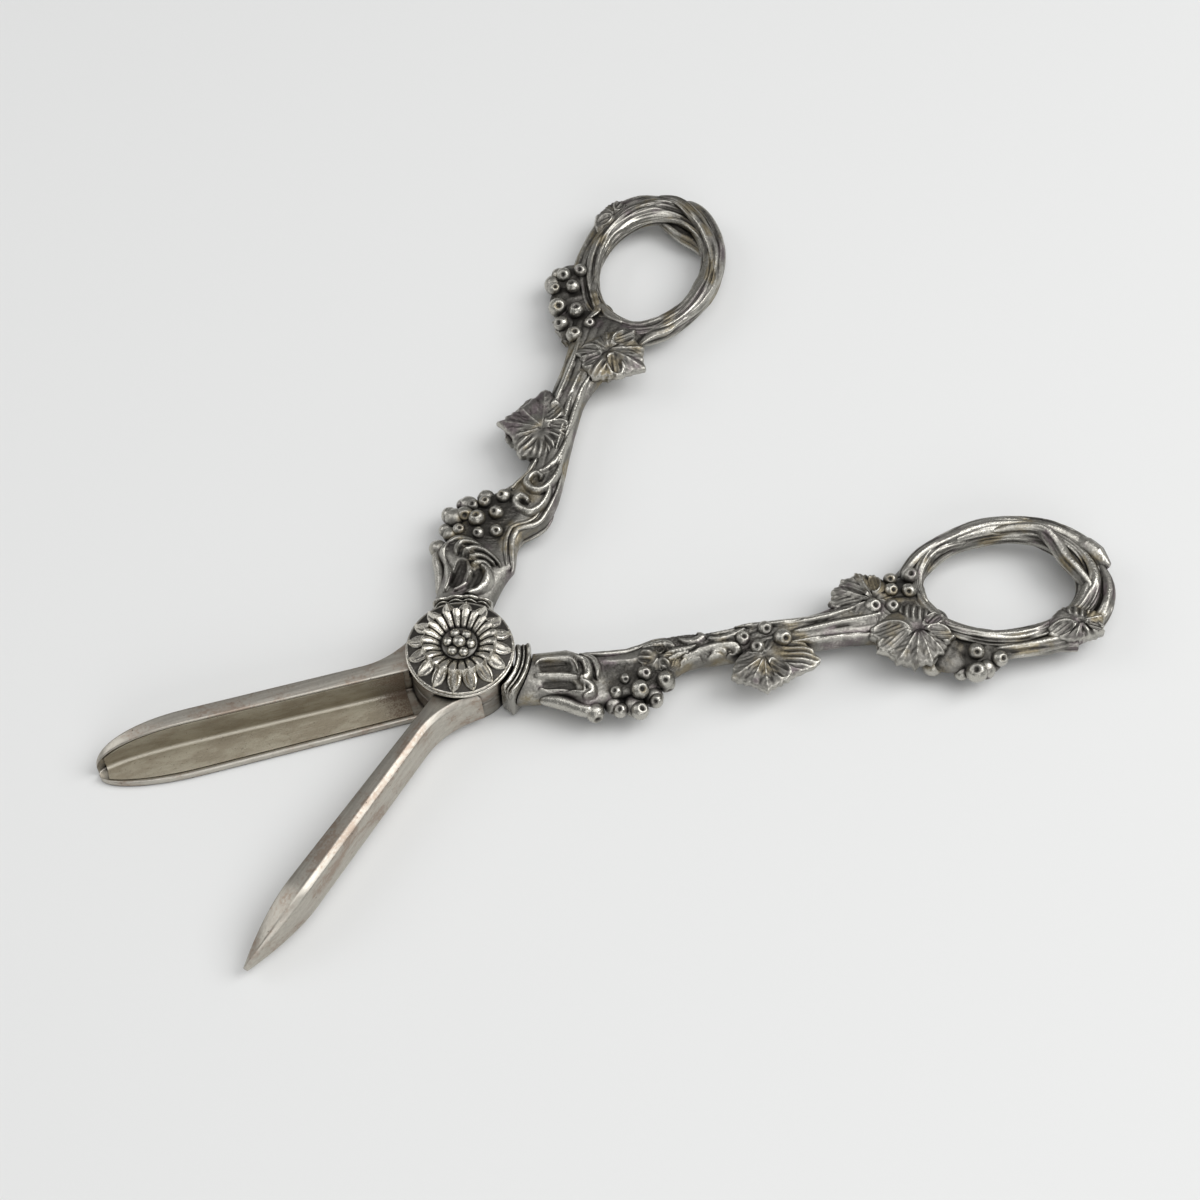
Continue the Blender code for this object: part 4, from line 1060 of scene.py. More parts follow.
@dataclass
class HandleCasting:
    """The vine casting of one handle, in its own frame along the handle.

    A row of the ground holds a distance along the handle, the inner and the outer edge and half the
    thickness. A row of the waist holds a distance and the offsets of the inner and the outer edge. A
    stem of the ring is its lean, thickness and bark, a pad its place, radius and half thickness, a knob
    its place and radius, and a panel its middle, half length, half width and lean.
    """

    half: Half
    waist: Path
    waist_limit: float = 8.0
    waist_span: float = 10.0
    ground_table: Path = (
        (12.2, -0.6, 9.0, 3.5), (16.5, -0.6, 10.2, 3.3), (19.5, -0.9, 12.8, 3.0), (22.0, -1.5, 12.3, 2.3),
        (26.5, -1.7, 11.4, 2.1), (30.5, -2.3, 11.2, 2.1), (33.5, -3.1, 9.6, 2.2), (37.0, -3.3, 6.6, 2.4),
        (41.0, -2.8, 4.9, 2.5), (48.0, -1.5, 5.2, 2.5), (55.0, -0.4, 6.2, 2.4), (61.0, 0.2, 7.0, 2.4),
        (67.0, -0.8, 7.3, 2.5), (73.0, -2.4, 8.2, 2.6), (78.0, -4.4, 9.8, 2.4), (81.2, -5.6, 10.6, 1.5),
    )
    squareness: Path = ((12.2, 0.85), (18.0, 0.80), (22.0, 0.62), (30.0, 0.66), (40.0, 0.85), (83.0, 0.90))
    sink: float = 0.45
    hidden_share: float = 0.72
    collar_radius: float = 12.15
    ring_centre: float = 95.9
    ring_half_length: float = 15.9
    ring_half_width: float = 11.4
    ring_core: float = 2.2
    ring_offset: float = 1.30
    ring_twist: float = 300.0
    ring_stems: Path = ((20.0, 1.50, 0.30), (165.0, 1.20, 0.26))
    pads: Path = ((83.2, 11.4, 4.4, 1.5), (88.2, 13.0, 4.2, 1.5), (82.4, 5.0, 2.3, 1.5))
    knobs: Path = ((20.9, 13.2, -0.2, 1.7), (20.4, 10.4, -2.2, 1.15))
    front_panels: Path = ((15.4, 6.8, 3.1, 1.15, 0.12), (15.3, 3.4, 2.5, 1.1, 0.0))
    back_panels: Path = ((15.6, 4.3, 2.9, 1.35, 0.10), (15.6, 8.3, 2.9, 1.10, 0.16))
    field_along: Point = (22.0, 24.5, 33.0, 36.5)
    field_across: Point = (1.4, 2.6, 8.8, 10.8)
    stem_along: Point = (38.0, 43.0, 76.0, 82.0)
    rough_along: Point = (30.0, 34.0, 48.0, 54.0)
    field_depth: float = 0.6
    stipple_depth: float = 0.13
    rough_depth: float = 0.17
    furrow_depth: float = 0.40
    furrow_pitch: float = 1.6
    panel_depth: float = 1.2
    reed_depth: float = 0.10
    reed_pitch: float = 0.8
    ridge_spread: float = 1.15
    core_groove: float = 0.27
    ground_rows: int = 440
    ground_sides: int = 168
    ring_points: int = 260
    core_sides: int = 90
    stem_sides: int = 60
    twig_points: int = 120
    twig_sides: int = 40
    ridge_points: int = 60
    strand_points: int = 70
    strand_sides: int = 18

    def slim(self, s: Array, t: Array) -> Array:
        """Offset of a point after the casting's waist: full on the inner side, none on the outer one."""
        share = np.clip((self.waist_limit - t) / self.waist_span, 0.0, 1.0)
        return t + look_up(self.waist, s)[0] * share

    def bulge(self, s: Array) -> Array:
        """How far the outer edge stands out of the common casting."""
        return look_up(self.waist, s)[1]

    def power(self, s: Array) -> Array:
        """Power of the superellipse across the handle: one is an ellipse, less is squarer."""
        return look_up(self.squareness, s)[0]

    def height(self, s: Array, t: Array) -> Array:
        """Height of the plain ground above the middle plane: a superellipse across the handle."""
        inner, outer, half = look_up(self.ground_table, s)
        inner, outer = self.slim(s, inner), outer + self.bulge(s)
        share = np.clip(np.abs((2 * t - inner - outer) / (outer - inner)), 0.0, 0.97)
        power = self.power(s)
        return half * (1.0 - share ** (2 / power)) ** (power / 2)

    def ridges(self, s: Array, t: Array, face: Face) -> tuple[Array, Array]:
        """Raised lines that belong to the ground of a face.

        The nearest point of a line, at a distance counted in half widths of the line there, gives a
        rounded section: one less the distance squared, to a power below one. The highest line counts.

        Args:
            s: distances along the handle.
            t: offsets across it.
            face: which face's lines to raise.

        Returns:
            The rise in millimetres and the share of the nearest line.
        """
        rise, share = np.zeros(s.shape), np.zeros(s.shape)
        for strand in STRANDS:
            if strand.face is not face or strand.kind is not Relief.RIDGE:
                continue
            path_s, path_t = curve(strand.path, self.ridge_points).T
            path_t = self.slim(path_s, path_t)
            width = self.ridge_spread * strand.radius
            width = width * rounded(self.ridge_points, strand.start, strand.end)
            near = (np.hypot(s[..., None] - path_s, t[..., None] - path_t) / width).min(axis=-1)
            section = np.clip(1.0 - near**2, 0.0, 1.0) ** 0.8
            rise = np.maximum(rise, (strand.lift + strand.flat * strand.radius) * section)
            share = np.maximum(share, section)
        return rise, share

    def panels(self, s: Array, t: Array, front: Array) -> Array:
        """Share of the sunk panels of the root: rounded squares of a high power, two on each face."""
        shares = []
        for panels in (self.front_panels, self.back_panels):
            far = [(np.abs((s - s0) / long) ** 4 + np.abs((t - t0 - lean * (s - s0)) / wide) ** 4) ** 0.25
                   for s0, t0, long, wide, lean in panels]
            shares.append(1.0 - smooth_step(0.78, 1.08, np.minimum(*far)))
        return np.where(front > 0, *shares)

    def relief(self, s: Array, t: Array, front: Array) -> tuple[Array, Array]:
        """Carving of the ground, as a rise in millimetres, and the tarnish that goes with it.

        The field under the first grapes is sunk and stippled, the waist is rough on its back, the
        stem has long grooves, and the root has two hollow panels with fine reeds on each face.

        Args:
            s: distances along the handle.
            t: offsets across the common casting.
            front: above zero on the front face and below it on the back.

        Returns:
            The rise and the tarnish.
        """
        field = window(self.field_along, s) * window(self.field_across, t)
        stipple = np.sin(8.3 * s + 2.0 * np.sin(2.9 * t)) * np.sin(7.9 * t + 2.0 * np.sin(2.3 * s))
        stem = window(self.stem_along, s)
        wander = 1.2 * np.sin(0.23 * s) + 0.7 * np.sin(0.61 * s + 1.0)
        furrow = (0.5 + 0.5 * np.cos(2 * np.pi * t / self.furrow_pitch + wander)) ** 3
        furrow = furrow * (0.65 + 0.35 * np.sin(0.5 * s + 3.1 * np.floor(t / self.furrow_pitch)))
        reeds = self.reed_depth * np.cos(2 * np.pi * t / self.reed_pitch)
        panel = self.panels(s, t, front)
        rough = window(self.rough_along, s) * (front < 0)
        rise = field * (self.stipple_depth * stipple - self.field_depth)
        rise = rise + self.rough_depth * rough * stipple
        rise = rise - self.furrow_depth * stem * furrow - (self.panel_depth - reeds) * panel
        field = np.maximum(field, 0.8 * smooth_step(74.0, 78.0, s))
        tone = 0.32 + rough * (0.28 - 0.22 * stipple) + 0.65 * field
        return rise, np.clip(tone + 0.75 * stem * furrow + 0.7 * panel, 0.0, 1.0)

    def ground(self) -> Shell:
        """Stem with its carving and raised lines, from the collar to the finger ring."""
        table = curve(self.ground_table, self.ground_rows)
        s, inner, outer, half = (column[:, None] for column in table.T)
        angle = (turns(self.ground_sides) + np.pi / self.ground_sides)[None, :]
        c, d = np.cos(angle), np.sin(angle)
        power = self.power(s)
        across = np.sign(c) * np.abs(c) ** power
        plain = (inner + outer) / 2 + (outer - inner) / 2 * across
        inner, outer = self.slim(s, inner), outer + self.bulge(s)
        t = (inner + outer) / 2 + (outer - inner) / 2 * across
        arc = np.sqrt(np.maximum(self.collar_radius**2 - t**2, 1.0)) - self.collar_radius
        s = s + arc * (1 - smooth_step(12.2, 17.0, s))
        level = np.abs(d) ** power
        rise, tone = self.relief(s, plain, d)
        middle = self.ground_sides // 2
        for face, columns in ((Face.FRONT, slice(middle)), (Face.BACK, slice(middle, None))):
            raised, share = self.ridges(s[:, columns], t[:, columns], face)
            rise[:, columns] = np.maximum(rise[:, columns] * (1.0 - share), raised + 0.5 * rise[:, columns])
            tone[:, columns] *= 1.0 - share
        z = np.sign(d) * (half * level + rise * smooth_step(0.06, 0.35, level))
        side = 0.45 + 0.35 * bark(s, angle + np.sin(0.15 * s), 1.3)
        return skin(np.stack((s, t, z), axis=-1), side + (tone - side) * smooth_step(0.3, 0.7, level))

    def ring_point(self, turn: Array) -> tuple[Array, Array]:
        """Points of the ring's centre line and the directions out of the ring, by angle."""
        c, d = np.cos(turn), np.sin(turn)
        centre = np.stack((self.ring_centre + self.ring_half_length * c, self.ring_half_width * d,
                           0.25 * np.sin(2 * turn)), axis=-1)
        out = unit(np.stack((c / self.ring_half_length, d / self.ring_half_width, 0 * c), axis=-1))
        return centre, out

    def ring(self) -> list[Shell]:
        """Finger ring: a thick barked stem bent to a loop, with two thinner ones wound slowly about it.

        A stem is the loop's centre line plus an offset whose direction leans evenly round the line,
        and its thickness swells and shrinks along the way.

        Returns:
            The thick stem and the two that wind about it.
        """
        turn = turns(self.ring_points) - np.pi
        swell = 1.0 + 0.07 * np.sin(3 * turn + 0.5) + 0.04 * np.sin(7 * turn)
        centre, _ = self.ring_point(turn)
        shells = [tube(centre, self.ring_core * swell, self.core_sides, True, 1.0, self.core_groove, 2.4)]
        turn = np.linspace(-np.pi - 0.3, np.pi + 0.3, self.ring_points)
        centre, out = self.ring_point(turn)
        for number, (lean, thick, depth) in enumerate(self.ring_stems):
            tilt = np.radians(lean + self.ring_twist * turn / (2 * np.pi))[:, None]
            offset = self.ring_offset * (1.0 + 0.12 * np.sin(3 * turn + number))[:, None]
            path = centre + offset * (np.cos(tilt) * out + np.sin(tilt) * np.array((0.0, 0.0, 1.0)))
            radius = thick * (1.0 + 0.09 * np.sin(4 * turn + 2.0 * number) + 0.05 * np.sin(9 * turn))
            radius = radius * rounded(self.ring_points, 0.7, 0.7, 20.0)
            shells.append(tube(path, radius, self.stem_sides, groove=depth, seed=1.0 + number))
        return shells

    def twigs(self) -> list[Shell]:
        """Free twigs round the far end of the ring, with a pruned stub and the crossing strand."""
        shells = []
        for radius, end, groove, points in TWIGS:
            path = curve(points, self.twig_points)
            taper = rounded(self.twig_points, 0.55, end, 14.0)
            shells.append(tube(path, radius * taper, self.twig_sides, groove=groove, seed=radius))
        return shells

    def strand(self, strand: Strand) -> Shell:
        """A strand laid on the ground of its face."""
        s, t = curve(strand.path, self.strand_points).T
        t = self.slim(s, t)
        height = self.height(s, t) + strand.lift
        path = np.column_stack((s, t, strand.face.value * height))
        knots = 1.0 + 0.4 * strand.groove * np.sin(2.3 * s + 1.9 * t + 7.0 * strand.radius)
        radius = strand.radius * knots * rounded(self.strand_points, strand.start, strand.end)
        return tube(path, radius, self.strand_sides, False, strand.flat, strand.groove, strand.radius)

    def berries(self) -> list[Shell]:
        """Grapes of both faces, half sunk, and of the edge, each leaning a little its own way."""
        shells = []
        bunches = (
            (FRONT_GRAPES, (-0.35, 0.0, 1.0), -self.sink),
            (BACK_GRAPES, (0.0, 0.45, -1.0), self.sink),
            (EDGE_GRAPES, (0.0, 1.0, 0.25), 0.0),
        )
        for bunch, lean, sink in bunches:
            for number, grape in enumerate(bunch):
                sway = np.array((0.35 * math.sin(2.4 * number), 0.3 * math.cos(1.7 * number), 0.0))
                shells.append(replace(grape, z=grape.z + sink).shell(np.array(lean) + sway))
        return shells

    def swellings(self) -> list[Shell]:
        """Flat pads under the grapes beside the ring, and the scroll knobs of the root."""
        shells = []
        for s, t, wide, thick in self.pads:
            polar = np.linspace(0.03, np.pi - 0.03, 24)[:, None]
            angle = turns(48)[None, :]
            rows = around(wide * np.sin(polar), angle, thick * np.cos(polar)) + np.array((s, t, 0.0))
            rows[..., 2] *= 1.0 + 0.10 * np.sin(2.6 * rows[..., 0]) * np.sin(2.3 * rows[..., 1])
            shells.append(skin(rows, 0.85))
        for s, t, z, radius in self.knobs:
            offset = float(self.slim(np.array(s), np.array(t)))
            shells.append(Grape(s, offset, z, radius).shell(np.array((0.2, 1.0, -0.1))))
        return shells

    def build(self, finish: OxidisedSilver) -> None:
        """Make the handle as four meshes: its ground with raised lines, ring, leaves and fruit."""
        letter = self.half.value[-1]
        hidden = Face.BACK if self.half is Half.NESTING else Face.FRONT
        lines = [self.strand(strand) for strand in STRANDS if strand.kind is Relief.TUBE]
        parts = {
            "stem": [self.ground()] + lines,
            "ring": self.ring() + self.twigs(),
            "leaf": [leaf.shell(self.hidden_share if leaf.face is hidden else 1.0) for leaf in LEAVES],
            "fruit": self.swellings() + self.berries(),
        }
        for part, shells in parts.items():
            placed = [shell.placed(handle_turn(self.half), PIVOT.lap_plane) for shell in shells]
            piece = Piece(f"vine_{part}_{letter}", self.half, f"handle_{letter}", "vine_silver", 60.0)
            piece.dress(mesh_of(f"vine_{part}", placed), finish.material(f"oxidised_{part}_{letter}"))


@dataclass
class Collars:
    """Moulded collars between the lugs and the handles, each a sector round the pivot.

    A band of the moulding is its place across it, its half width and its rise, which is negative for a
    groove. A fit is the half that a collar belongs to, the height of its leaf lumps and its turn.
    """

    inner: float = 9.35
    outer: float = 12.0
    start: float = -5.0
    end: float = 47.0
    half_height: float = 3.9
    bands: Path = ((0.18, 0.16, 0.42), (0.53, 0.08, 0.20), (0.84, 0.13, 0.34), (0.42, 0.05, -0.28),
                   (0.65, 0.05, -0.28), (0.0, 0.04, -0.5), (1.0, 0.04, -0.5))
    fits: tuple[tuple[Half, float, float], ...] = ((Half.GUTTER, 0.1, 4.0), (Half.NESTING, 0.85, 0.0))
    across: int = 44
    rows: int = 90

    def shell(self, swell: float, turn: float) -> Shell:
        """Sweep the moulding round the pivot.

        The section runs out along the top and back along the bottom. Its height swells into two
        rounded bands with a narrow bead between, and its ends are drawn in a little. Four lumps like
        leaves stand on the outer band.

        Args:
            swell: height of the lumps.
            turn: how far the collar is turned from its place, in degrees.

        Returns:
            The collar as a shell.
        """
        share = np.linspace(0.0, 1.0, self.across)
        rise = sum(height * hump(share - middle, width) for middle, width, height in self.bands)
        radius = there_and_back(self.inner + (self.outer - self.inner) * share)
        dark = there_and_back(hump(share - 0.42, 0.06) + hump(share - 0.65, 0.06))
        sign = np.repeat((1.0, -1.0), self.across)
        place = np.linspace(-1.0, 1.0, self.rows)[:, None]
        lumps = np.abs(np.sin(2.0 * np.pi * (place + 1.0)))
        leaf = there_and_back(swell * hump(share - 0.66, 0.30))
        height = sign * (self.half_height + there_and_back(rise) + leaf * (lumps - 0.6))
        angle = np.radians((self.start + self.end) / 2 + turn + (self.end - self.start) / 2 * place)
        height = height * (1.0 - 0.10 * place**16)
        return skin(around(radius, angle, height), 0.8 * dark)

    def build(self, finish: OxidisedSilver) -> None:
        """Make both collars from one moulding."""
        for half, swell, turn in self.fits:
            name = f"collar_{half.value[-1]}"
            shell = self.shell(swell, turn).placed(handle_turn(half), PIVOT.lap_plane)
            piece = Piece(f"moulded_{name}", half, name, "bright_silver")
            piece.dress(mesh_of(name, [shell]), finish.material(f"rubbed_{name}"))


@dataclass
class Flower:
    """Sunflower boss on its seat, with the beaded head of the rivet and the burr behind.

    A bead is the height of its middle and its radius.
    """

    seat_radius: float = 9.3
    seat_bottom: float = 9.15
    seat_top: float = 9.75
    base: float = 9.9
    radius: float = 9.1
    rim: float = 0.42
    petal_tip: float = 8.95
    petal_drop: float = 2.0
    petal_room: float = 0.53
    petal_edge: float = 0.30
    petal_ridge: float = 1.45
    crest_radius: float = 6.0
    crest: float = 3.3
    cup_radius: float = 2.9
    cup: float = 1.25
    petals: int = 16
    inner_petals: int = 22
    bore: float = PIVOT.bore_radius
    tail_radius: float = 3.4
    tail_top: float = 0.5
    head_radius: float = 3.1
    head_bottom: float = 11.0
    head_top: float = 11.7
    middle_bead: Point = (12.1, 1.15)
    bead: Point = (11.75, 0.92)
    bead_circle: float = 1.95
    beads: int = 6
    burr_radius: float = 4.4
    burr_bottom: float = 0.65
    burr_top: float = 1.25
    burr_edge: float = 0.15
    boss_sides: int = 512
    disc_sides: int = 192
    rivet_sides: int = 128

    def height(self, radius: Array, angle: Array) -> tuple[Array, Array]:
        """Height of the flower and its tarnish.

        Outside the crest a cone falls to the rim. Pointed petals stand on it: the distance from a
        petal's middle line, as a share of a width that shrinks to nothing at the tip, makes a roof
        with a ridge. Inside the crest narrow rounded petals climb out of the cup.

        Args:
            radius: distances from the pivot, as a column.
            angle: angles round it, as a row.

        Returns:
            The height above the flower's base and the tarnish.
        """
        off = np.abs((self.petals * angle / (2 * np.pi) + 0.5) % 1.0 - 0.5)
        share = np.clip((radius - self.crest_radius) / (self.petal_tip - self.crest_radius), 0.0, 1.0)
        floor = self.rim + (self.crest - self.petal_drop - self.rim) * (1.0 - share)
        room = np.maximum(self.petal_room * (1.0 - share**2.5), 0.012)
        petal = np.clip(1.0 - off / room, 0.0, 1.0)
        roof = self.petal_edge + self.petal_ridge * petal
        roof = np.minimum(petal * 6.0, 1.0) * roof * (1.0 - 0.45 * share)
        ends = smooth_step(0.0, 0.06, 1.0 - share)
        skirt = floor + roof * ends - 0.16 * hump(petal - 0.5, 0.13) * ends
        skirt = skirt + (self.crest - 0.1 - skirt) * (1.0 - smooth_step(0.0, 0.12, share))
        dark = np.clip(1.0 - petal * 6.0, 0.0, 1.0) * ends
        side = np.abs((self.inner_petals * angle / (2 * np.pi)) % 1.0 - 0.5)
        climb = np.clip((radius - self.cup_radius) / (self.crest_radius - self.cup_radius), 0.0, 1.0)
        lobe = np.sqrt(np.clip(1.0 - (2.0 * side) ** 2.2, 0.0, 1.0))
        wall = self.cup + (self.crest - self.cup) * np.sin(climb * np.pi / 2) ** 0.9
        inside = wall - 0.75 * (1.0 - lobe) * smooth_step(0.0, 0.2, climb)
        crease = 0.8 * hump(petal - 0.5, 0.13) * window((0.1, 0.3, 0.6, 0.9), share)
        tone = np.where(radius > self.crest_radius, 1.1 * dark + crease, 1.2 * (1 - lobe) ** 1.2)
        tone = np.maximum(tone, 1.0 - smooth_step(0.0, 0.35, climb))
        return np.where(radius > self.crest_radius, skirt, inside), tone

    def boss(self) -> Shell:
        """The flower as a ring: up the bore, over the petals and back under."""
        angle = turns(self.boss_sides)[None, :]
        radius = np.concatenate((np.linspace(self.bore, self.cup_radius, 8),
                                 np.linspace(self.cup_radius, self.crest_radius - 0.02, 28),
                                 np.linspace(self.crest_radius + 0.02, self.radius, 46)))[:, None]
        height, tone = self.height(radius, angle)
        edge = self.crest_radius + 0.40 * (np.abs(np.sin(self.inner_petals * angle / 2)) - 0.5)
        spread = 1.0 + (edge / self.crest_radius - 1.0) * hump(radius - self.crest_radius, 0.9)
        radius = radius * spread
        under = np.array((self.radius, self.radius - 0.2, self.bore + 0.2, self.bore))[:, None] + 0 * angle
        level = np.array((0.14, 0.0, 0.0, 0.14))[:, None] + 0 * angle
        reach = np.vstack((radius, under))
        z = np.vstack((height, level)) + self.base
        return skin(around(reach, angle, z), np.vstack((tone, 0.3 + 0 * level)), ring=True)

    def seat(self) -> Shell:
        """Plain disc with a rounded rim."""
        bend = np.linspace(-np.pi / 2, np.pi / 2, 13)
        middle, half = (self.seat_bottom + self.seat_top) / 2, (self.seat_top - self.seat_bottom) / 2
        rim = [(self.seat_radius - half + half * math.cos(a), middle + half * math.sin(a)) for a in bend]
        return lathe(((self.bore, self.seat_bottom), *rim, (self.bore, self.seat_top)), self.disc_sides)

    def rivet(self) -> list[Shell]:
        """Spread tail, shank and head, with a bead in the middle and six round it."""
        tail, head, low, high = self.tail_radius, self.head_radius, self.head_bottom, self.head_top
        shank, top = PIVOT.rivet_radius, self.tail_top
        profile = (
            (0.02, 0.0), (tail - 0.35, 0.0), (tail - 0.08, 0.12), (tail, 0.30), (tail - 0.06, top),
            (shank, top), (shank, low), (head - 0.1, low), (head, low + 0.1), (head, high - 0.15),
            (head - 0.15, high), (0.02, high),
        )
        middle = Grape(0.0, 0.0, *self.middle_bead, 26, 40)
        shells = [lathe(profile, self.rivet_sides, 0.6), middle.shell(np.array((0.05, 0.05, -1.0)))]
        for turn in turns(self.beads) + 0.25:
            place = self.bead_circle * math.cos(turn), self.bead_circle * math.sin(turn)
            shells.append(Grape(*place, *self.bead, 22, 32).shell(np.array((0.0, 0.0, -1.0))))
        return shells

    def burr(self) -> Shell:
        """Washer under the rivet's tail."""
        radius, low, high, edge = self.burr_radius, self.burr_bottom, self.burr_top, self.burr_edge
        profile = ((self.bore, low), (radius - edge, low), (radius, low + edge), (radius, high - edge),
                   (radius - edge, high), (self.bore, high))
        return lathe(profile, self.rivet_sides, 0.1)

    def build(self, rubbed: OxidisedSilver, seed: OxidisedSilver, brass: DullBrass) -> None:
        """Make the boss, its seat, the rivet and the burr."""
        boss = Piece("sunflower_rosette", Half.NESTING, "rosette", "bright_silver", 34.0)
        boss.dress(mesh_of("rosette", [self.boss()]), rubbed.material("rubbed_rosette"))
        seat = Piece("rosette_seat_disc", Half.NESTING, "rosette_seat", "bright_silver")
        seat.dress(mesh_of("rosette_seat", [self.seat()]), rubbed.material("rubbed_seat"))
        rivet = Piece("beaded_rivet", Half.NESTING, "pivot_rivet", "bright_silver")
        rivet.dress(mesh_of("pivot_rivet", self.rivet()), seed.material("rubbed_rivet"))
        burr = Piece("back_burr", Half.GUTTER, "rivet_burr", "burr_brass")
        burr.dress(mesh_of("rivet_burr", [self.burr()]), brass.material("dull_burr"))


def forged(base: Shell, room: Shell, added: list[Shell], holes: list[Shell]) -> bpy.types.Mesh:
    """Cut room out of a solid, join others to it and bore it, by exact Booleans.

    Args:
        base: the solid to start from.
        room: solid taken away first.
        added: solids then joined.
        holes: solids taken away last.

    Returns:
        The resulting mesh, without an owner.
    """
    holder = link("base", mesh_of("base", [base]))
    objects = [holder]
    for operation, shells in (("DIFFERENCE", [room]), ("UNION", added), ("DIFFERENCE", holes)):
        for shell in shells:
            objects.append(link("tool", mesh_of("tool", [shell])))
            step = holder.modifiers.new(operation, "BOOLEAN")
            step.operation, step.solver, step.object = operation, "EXACT", objects[-1]
    graph = bpy.context.evaluated_depsgraph_get()
    mesh = bpy.data.meshes.new_from_object(holder.evaluated_get(graph))
    for obj in objects:
        bpy.data.objects.remove(obj, do_unlink=True)
    return mesh


def drum(radius: float, bottom: float, top: float, chamfer: float = 0.0) -> Shell:
    """Solid disc on the pivot axis, with its rims bevelled."""
    edge = ((0.01, bottom), (radius - chamfer, bottom), (radius, bottom + chamfer), (radius, top - chamfer),
            (radius - chamfer, top), (0.01, top))
    return lathe(edge if chamfer else (edge[0], edge[1], edge[4], edge[5]), 160)


@dataclass
class Blade:
    """Sizes and curves that both blades share, in the frame of the blade, which runs along +X.

    The straight part runs from the shoulder to the start of the point. The tang is a box between two
    corners in the frame of its handle. Cuts run from below the shears to above them.
    """

    length: float = 63.38
    shoulder: float = 5.5
    start: float = 47.0
    flare_length: float = 11.0
    flare: float = 4.4
    tip_half_width: float = 0.6
    lug_chamfer: float = 0.25
    tang_low: Point = (6.0, 1.4, 0.45)
    tang_high: Point = (18.0, 6.4, 2.45)
    below: float = -1.0
    above: float = 11.0
    # Distance from the pivot where the painted shadow and the painted dark reflection along the blades
    # begin.
    painted_shade_from: float = 9.0
    straight_stations: int = 90
    point_stations: int = 61
    corner_steps: int = 4

    def along(self) -> Array:
        """Distances along the blade, closer at the point."""
        straight = np.linspace(self.shoulder, self.start, self.straight_stations)[:-1]
        bend = np.sin(np.linspace(0, np.pi / 2, self.point_stations))
        point = self.start + (self.length - self.start) * bend
        return np.concatenate((straight, point))

    def root(self, s: Array) -> Array:
        """Outward sweep of the root, a parabola ending at the flare's length."""
        reach = np.clip(self.shoulder + self.flare_length - s, 0.0, None) / self.flare_length
        return self.flare * reach**2

    def share(self, s: Array) -> Array:
        """How far an edge has run to the point, along an ellipse."""
        reach = np.clip((s - self.start) / (self.length - self.start), 0.0, 1.0)
        return 1.0 - np.sqrt(np.clip(1.0 - reach**2, 0.0, 1.0))

    def taper(self, ends: Point, s: Array) -> Array:
        """Straight taper between two offsets, from the shoulder to where the point begins."""
        root, end = ends
        return root + (end - root) * (s - self.shoulder) / (self.start - self.shoulder)

    def loft(self, s: Array, corners: tuple[tuple, ...], radius: float) -> Shell:
        """Stack softened sections along the blade.

        Args:
            s: distances along the blade.
            corners: offset and height of each corner, as one number or one for each distance.
            radius: rounding of the corners.

        Returns:
            The blade's skin.
        """
        profile = np.stack([np.column_stack(np.broadcast_arrays(*corner, s)[:2]) for corner in corners], 1)
        outline = soften(profile, radius, self.corner_steps)
        station = np.broadcast_to(s[:, None, None], outline.shape[:2] + (1,))
        return skin(np.concatenate((station, outline), axis=-1), hollow=True)

    def tang(self, half: Half, angle: float) -> Shell:
        """Tang that runs through the collar into the handle, in the frame of its blade."""
        low, high = np.array(self.tang_low), np.array(self.tang_high)
        corners = np.array(((0, 0), (1, 0), (1, 1), (0, 1)), dtype=float)
        rows = np.stack([np.column_stack((np.full(4, x), corners)) for x in (0.0, 1.0)])
        shell = skin(low + rows * (high - low)).placed(handle_turn(half), PIVOT.lap_plane)
        return shell.placed(spin(-angle), 0.0)

    def barrel(self, points: Array) -> Array:
        """Closeness to the round side of the lug, from 0 to 1."""
        return hump(np.hypot(points[:, 0], points[:, 1]) - PIVOT.lug_radius, 0.4)

    def settle(self, mesh: bpy.types.Mesh, rule: Rule, angle: float) -> None:
        """Store painted shade on a mesh by a rule of its points, then turn it to its place."""
        points = np.empty(3 * len(mesh.vertices), dtype=np.float32)
        mesh.vertices.foreach_get("co", points)
        local = points.reshape(-1, 3).astype(float) / MM
        store_tarnish_and_painted_shade(mesh, rule(local))
        turned = local @ spin(angle).T * MM
        mesh.vertices.foreach_set("co", turned.astype(np.float32).ravel())
        mesh.update()


